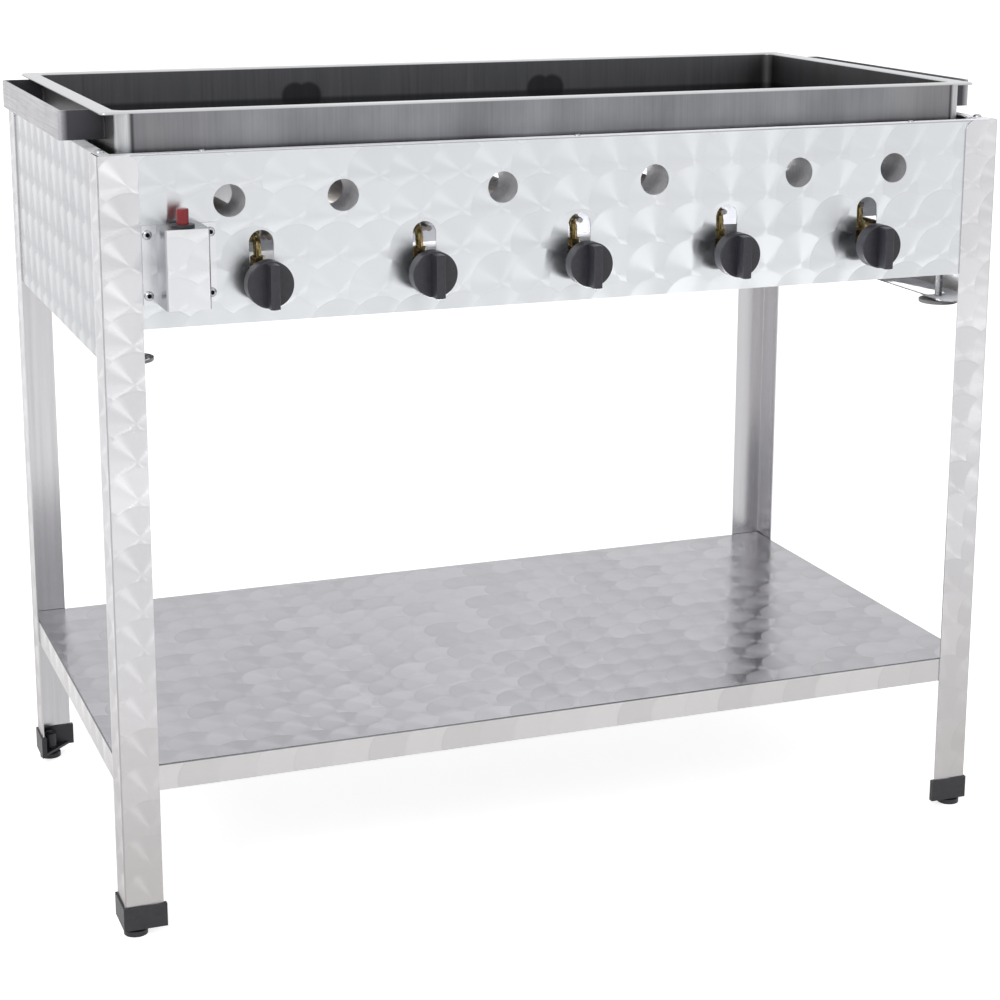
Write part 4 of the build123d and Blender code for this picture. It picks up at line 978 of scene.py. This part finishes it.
@dataclass(frozen=True)
class Assembly:
    """A sub-assembly, which dresses its CAD nodes and adds pieces of its own."""

    shop: Workshop  # The shared materials and tools.
    wears: ClassVar[dict[str, list[str]]] = {}  # The CAD nodes that wear each finish.

    def build(self) -> None:
        """Dress the nodes, then add the pieces."""
        for finish, nodes in self.wears.items():
            for node in nodes:
                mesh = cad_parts[node].data
                mesh.materials.clear()
                mesh.materials.append(self.shop.materials[finish])
                log.info("%s wears %s", node, finish)
        self.furnish()

    def furnish(self) -> None:
        """Add nothing, where a sub-assembly has no pieces of its own."""


class Stand(Assembly):
    """The legs, the shelf, the corner shoes and the levelling feet."""

    wears = {
        "circle_polished_leg": [f"leg_{corner}" for corner in CORNERS],
        "circle_polished_shelf": ["shelf"],
        "black_shoe_plastic": [f"{part}_{corner}" for part in ("corner_shoe", "levelling_foot") for corner in CORNERS],
        "zinc_plated_steel": ["leg_studs"],
    }


@dataclass(frozen=True)
class BurnerBox(Assembly):
    """The panels of the burner box, its screws and its own short feet, in millimetres."""

    wears = {
        "circle_polished_panel": [f"{side}_panel" for side in ("front", "rear", "left", "right")],
        "bright_carrier_steel": ["burner_carrier"],
        "mill_finish_stainless": ["pan_rests"],
        "pad_and_plated_screw": ["box_feet"],
    }
    tab_screw: ScrewHead = ScrewHead(drive=Drive.CROSS, recess=2.6)  # The screws in the corner tabs.
    # The small screws along the front flange.
    rim_screw: ScrewHead = ScrewHead(3.2, 1.8, 1.2, 1.0, Drive.CROSS, 1.7, 32)
    rim_screw_x: tuple[float, ...] = (-395.0, 0.0, 395.0)  # Where they are.
    rim_screw_at: tuple[float, float] = (-242.5, 810.0)  # Their depth and height.
    # The box feet's thread: radius, wire, pitch and bottom.
    foot_thread: tuple[float, float, float, float] = (3.95, 0.45, 1.5, 605.5)
    sleeve: Sleeve = Sleeve()  # The sleeve behind each air hole of the front panel.
    sleeve_x: tuple[float, ...] = (-371.0, -255.0, -85.0, 85.0, 255.0, 371.0)  # Where the holes are.
    sleeve_at: tuple[float, float] = (-249.25, 761.5)  # The sleeves' front end and height.

    def furnish(self) -> None:
        """Add the box's screws, sleeves and threads."""
        shop, zinc = self.shop, self.shop.materials["zinc_plated_steel"]
        boxes = islands("flange_screws")
        seats = [((a.x + b.x) / 2, (a.y + b.y) / 2, b.z - self.tab_screw.height * MM) for a, b in boxes]
        tabs = shop.setter.bake("tab_screws", seats, zinc, Template=self.tab_screw.build())
        shop.join(tabs, "frame", "zinc_steel", "flange_screws")
        spots, mouths = (
            [tuple(value * MM for value in (x, *at)) for x in along]
            for along, at in ((self.rim_screw_x, self.rim_screw_at), (self.sleeve_x, self.sleeve_at))
        )
        rims = shop.setter.bake("rim_screws", spots, zinc, Template=self.rim_screw.build())
        shop.join(rims, "frame", "zinc_steel")
        drawn = shop.materials["drawn_sleeve_steel"]
        sleeves = shop.setter.bake("air_hole_sleeves", mouths, drawn, Template=self.sleeve.build())
        shop.join(sleeves, "frame", "stainless_sheet")
        *size, bottom = (value * MM for value in self.foot_thread)
        feet = islands("box_feet")
        starts = [((a.x + b.x) / 2, (a.y + b.y) / 2, bottom) for a, b in feet]
        length = feet[0][1].z - bottom - size[1]
        threads = shop.threader.bake("foot_threads", starts, zinc, **Threader.inputs(size, length))
        shop.join(threads, "frame", "zinc_steel")


@dataclass(frozen=True)
class GasTrain(Assembly):
    """The manifold, the taps, the tubes and the burners, in millimetres."""

    wears = {
        "zinc_plated_steel": ["gas_manifold", "burner_nuts"],
        "drawn_brass": ["gas_inlet", "tap_bodies", "gas_tubes", "injectors", *(f"tap_plunger_{tap}" for tap in TAPS)],
        "sensor_sheath_steel": ["thermocouples"],
        "heat_tinted_burner_steel": [f"burner_{tap}" for tap in TAPS],
    }
    inlet_thread: tuple[float, float, float] = (6.38, 0.35, 1.34)  # The inlet's thread: radius, wire and pitch.
    inlet_length: float = 11.0  # The thread's length.

    def furnish(self) -> None:
        """Cut the inlet's thread."""
        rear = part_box("gas_inlet")[1].y
        ends = [vert.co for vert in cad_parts["gas_inlet"].data.vertices if vert.co.y > rear - 1e-5]
        x, z = (sum(co[axis] for co in ends) / len(ends) for axis in (0, 2))
        size = [value * MM for value in self.inlet_thread]
        start = (x, rear - size[1], z)
        brass, inputs = self.shop.materials["drawn_brass"], Threader.inputs(size, self.inlet_length * MM)
        thread = self.shop.threader.bake("inlet_thread", [start], brass, FORWARD, **inputs)
        self.shop.join(thread, "frame", "brass")


class Controls(Assembly):
    """The five knobs and their stems."""

    wears = {
        "black_knob_plastic": [f"knob_{tap}" for tap in TAPS],
        "zinc_plated_steel": [f"tap_stem_{tap}" for tap in TAPS],
    }


@dataclass(frozen=True)
class Igniter(Assembly):
    """The igniter's cover, its screws, the piezo with its button, the lead and the electrode."""

    wears = {
        "circle_polished_cover": ["igniter_box"],
        "black_shoe_plastic": ["piezo_body"],
        "red_button_plastic": ["igniter_button"],
        "silicone_lead_sleeve": ["ignition_lead"],
        "glazed_ceramic": ["ignition_electrode"],
    }
    screw: ScrewHead = ScrewHead()  # The cover's screws.

    def furnish(self) -> None:
        """Add the cover's screws."""
        boxes = islands("igniter_screws")
        seats = [((a.x + b.x) / 2, a.y + self.screw.height * MM, (a.z + b.z) / 2) for a, b in boxes]
        zinc = self.shop.materials["zinc_plated_steel"]
        screws = self.shop.setter.bake("cover_screws", seats, zinc, FORWARD, Template=self.screw.build())
        self.shop.join(screws, "frame", "zinc_steel", "igniter_screws")


@dataclass(frozen=True)
class Pan(Assembly):
    """The pan, its two handles and the welds between them, in millimetres."""

    wears = {"rolled_pan_steel": ["pan"], "strip_handle_steel": ["handle_left", "handle_right"]}
    ripple: WeldRipple = WeldRipple()  # One ripple of a weld.
    pitch: float = 1.3  # The ripples' distance.
    sheet: float = 3.0  # The handles' thickness.

    def furnish(self) -> None:
        """Weld the handles on."""
        points = []
        for node, wall in (("handle_left", 1), ("handle_right", 0)):
            low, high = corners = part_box(node)
            faces = (low.y, low.y + self.sheet * MM, high.y - self.sheet * MM, high.y)
            count = int((high.z - low.z) / (self.pitch * MM)) - 1
            heights = [low.z + (i + 1) * self.pitch * MM for i in range(count)]
            points += [(corners[wall].x, y, z) for y in faces for z in heights]
        bead = self.shop.materials["weld_bead_steel"]
        welds = self.shop.setter.bake("handle_welds", points, bead, Template=self.ripple.build())
        self.shop.join(welds, "griddle_pan", "handle_steel")


@dataclass(frozen=True)
class Lamp:
    """One soft square light."""

    name: str  # The light's name.
    place: tuple[float, float, float]  # Where it is, in metres.
    target: tuple[float, float, float]  # Where it points.
    size: float  # Its side in metres.
    power: float  # Its power in watts.
    spread: float = 180.0  # How wide it shines, in degrees.

    def build(self) -> None:
        """Make the light, out of the camera's sight."""
        data = bpy.data.lights.new(self.name, "AREA")
        data.size = self.size
        data.energy = self.power
        data.spread = math.radians(self.spread)
        light = bpy.data.objects.new(self.name, data)
        light.location = self.place
        light.rotation_euler = (Vector(self.target) - Vector(self.place)).to_track_quat("-Z", "Y").to_euler()
        light.visible_camera = False
        bpy.context.scene.collection.objects.link(light)


@dataclass(frozen=True)
class Studio:
    """A pale floor, a white backdrop and soft lights."""

    floor: PaleFloor = PaleFloor("pale_floor")  # The floor's finish.
    floor_size: float = 60.0  # The floor's side in metres.
    room: float = 0.62  # The room's light on the object.
    room_tone: str = "F7F6F5"  # That light's colour.
    # The lights.
    lamps: tuple[Lamp, ...] = (
        Lamp("key", (-2.4, -2.6, 2.6), (0.0, 0.0, 0.7), 1.4, 42.0),
        Lamp("low", (1.16, -2.1, 0.08), (0.0, -0.25, 0.75), 0.3, 0.35),
        Lamp("left", (0.75, -2.2, 0.5), (-0.55, -0.25, 0.4), 0.4, 0.032, 22.0),
        Lamp("back", (0.9, 2.6, 1.9), (0.0, 0.0, 0.2), 0.5, 0.6),
        Lamp("side", (-1.0, 3.0, 0.5), (-0.5, 0.0, 0.7), 0.4, 0.04),
        Lamp("under", (0.0, MIDDLE_Y, 0.3), (0.0, MIDDLE_Y, 0.8), 0.45, 8.0, 120.0),
    )

    def build(self) -> None:
        """Make the floor, the world and the lights."""
        half = self.floor_size / 2
        mesh = bpy.data.meshes.new("floor")
        mesh.from_pydata([(-half, -half, 0), (half, -half, 0), (half, half, 0), (-half, half, 0)], [], [(0, 1, 2, 3)])
        mesh.materials.append(self.floor.build())
        floor = bpy.data.objects.new("floor", mesh)
        bpy.context.scene.collection.objects.link(floor)
        floor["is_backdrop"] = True
        self._world()
        for lamp in self.lamps:
            lamp.build()

    def _world(self) -> None:
        """Make the world: white to sight and reflections, a plain grey room for light."""
        world = bpy.data.worlds.new("room")
        bpy.context.scene.world = world
        world.use_nodes = True
        world.node_tree.nodes.clear()
        tree = Tree(world.node_tree)
        room, white = (tree.add("Background", *pair) for pair in ((srgb(self.room_tone), self.room), (WHITE, 1.0)))
        tree.add("OutputWorld", tree.add("MixShader", tree.seen(), room, white))


@dataclass(frozen=True)
class PhotoCamera:
    """The camera that stands where the photograph was taken."""

    place: tuple[float, float, float] = (-0.8967, -2.3787, 1.0709)  # Where it is, in metres.
    yaw: float = 0.3632  # Its turn to the right of the depth axis, in radians.
    pitch: float = 0.2297  # Its tilt down, in radians.
    roll: float = 0.0021  # Its roll, in radians.
    lens: float = 80.7  # Its focal length in millimetres.
    shift: float = -0.1  # Its vertical lens shift.
    sensor: float = 36.0  # The picture's width in millimetres.
    reach: float = 200.0  # How far it sees, in metres.

    def build(self) -> None:
        """Make the camera and make it the scene's own."""
        data = bpy.data.cameras.new("photo")
        data.sensor_width = self.sensor
        data.lens = self.lens
        data.shift_y = self.shift
        data.clip_end = self.reach
        camera = bpy.data.objects.new("photo", data)
        turn = Matrix.Rotation(-self.yaw, 4, "Z") @ Matrix.Rotation(QUARTER_TURN - self.pitch, 4, "X")
        camera.matrix_world = Matrix.Translation(self.place) @ turn @ Matrix.Rotation(self.roll, 4, "Z")
        bpy.context.scene.collection.objects.link(camera)
        bpy.context.scene.camera = camera


@dataclass(frozen=True)
class Griddle:
    """The whole object."""

    # What it is made of.
    assemblies: tuple[type[Assembly], ...] = (Stand, BurnerBox, GasTrain, Controls, Igniter, Pan)

    def build(self) -> None:
        """Build every sub-assembly with one set of materials and tools."""
        shop = Workshop()
        for assembly in self.assemblies:
            assembly(shop).build()


def measure(when: str, store: dict[str, list[list[float]]]) -> None:
    """Keep the object's bounds.

    Args:
        when: The name of the moment.
        store: Where the bounds are kept.
    """
    store[when] = [[float(x) for x in corner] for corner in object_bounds()]


def main() -> None:
    """Build the scene."""
    sizes: dict[str, list[list[float]]] = {}
    measure("loaded", sizes)
    bpy.context.scene.view_settings.view_transform = "Standard"
    Griddle().build()
    Studio().build()
    PhotoCamera().build()
    measure("finished", sizes)


if __name__ == "__main__":
    main()
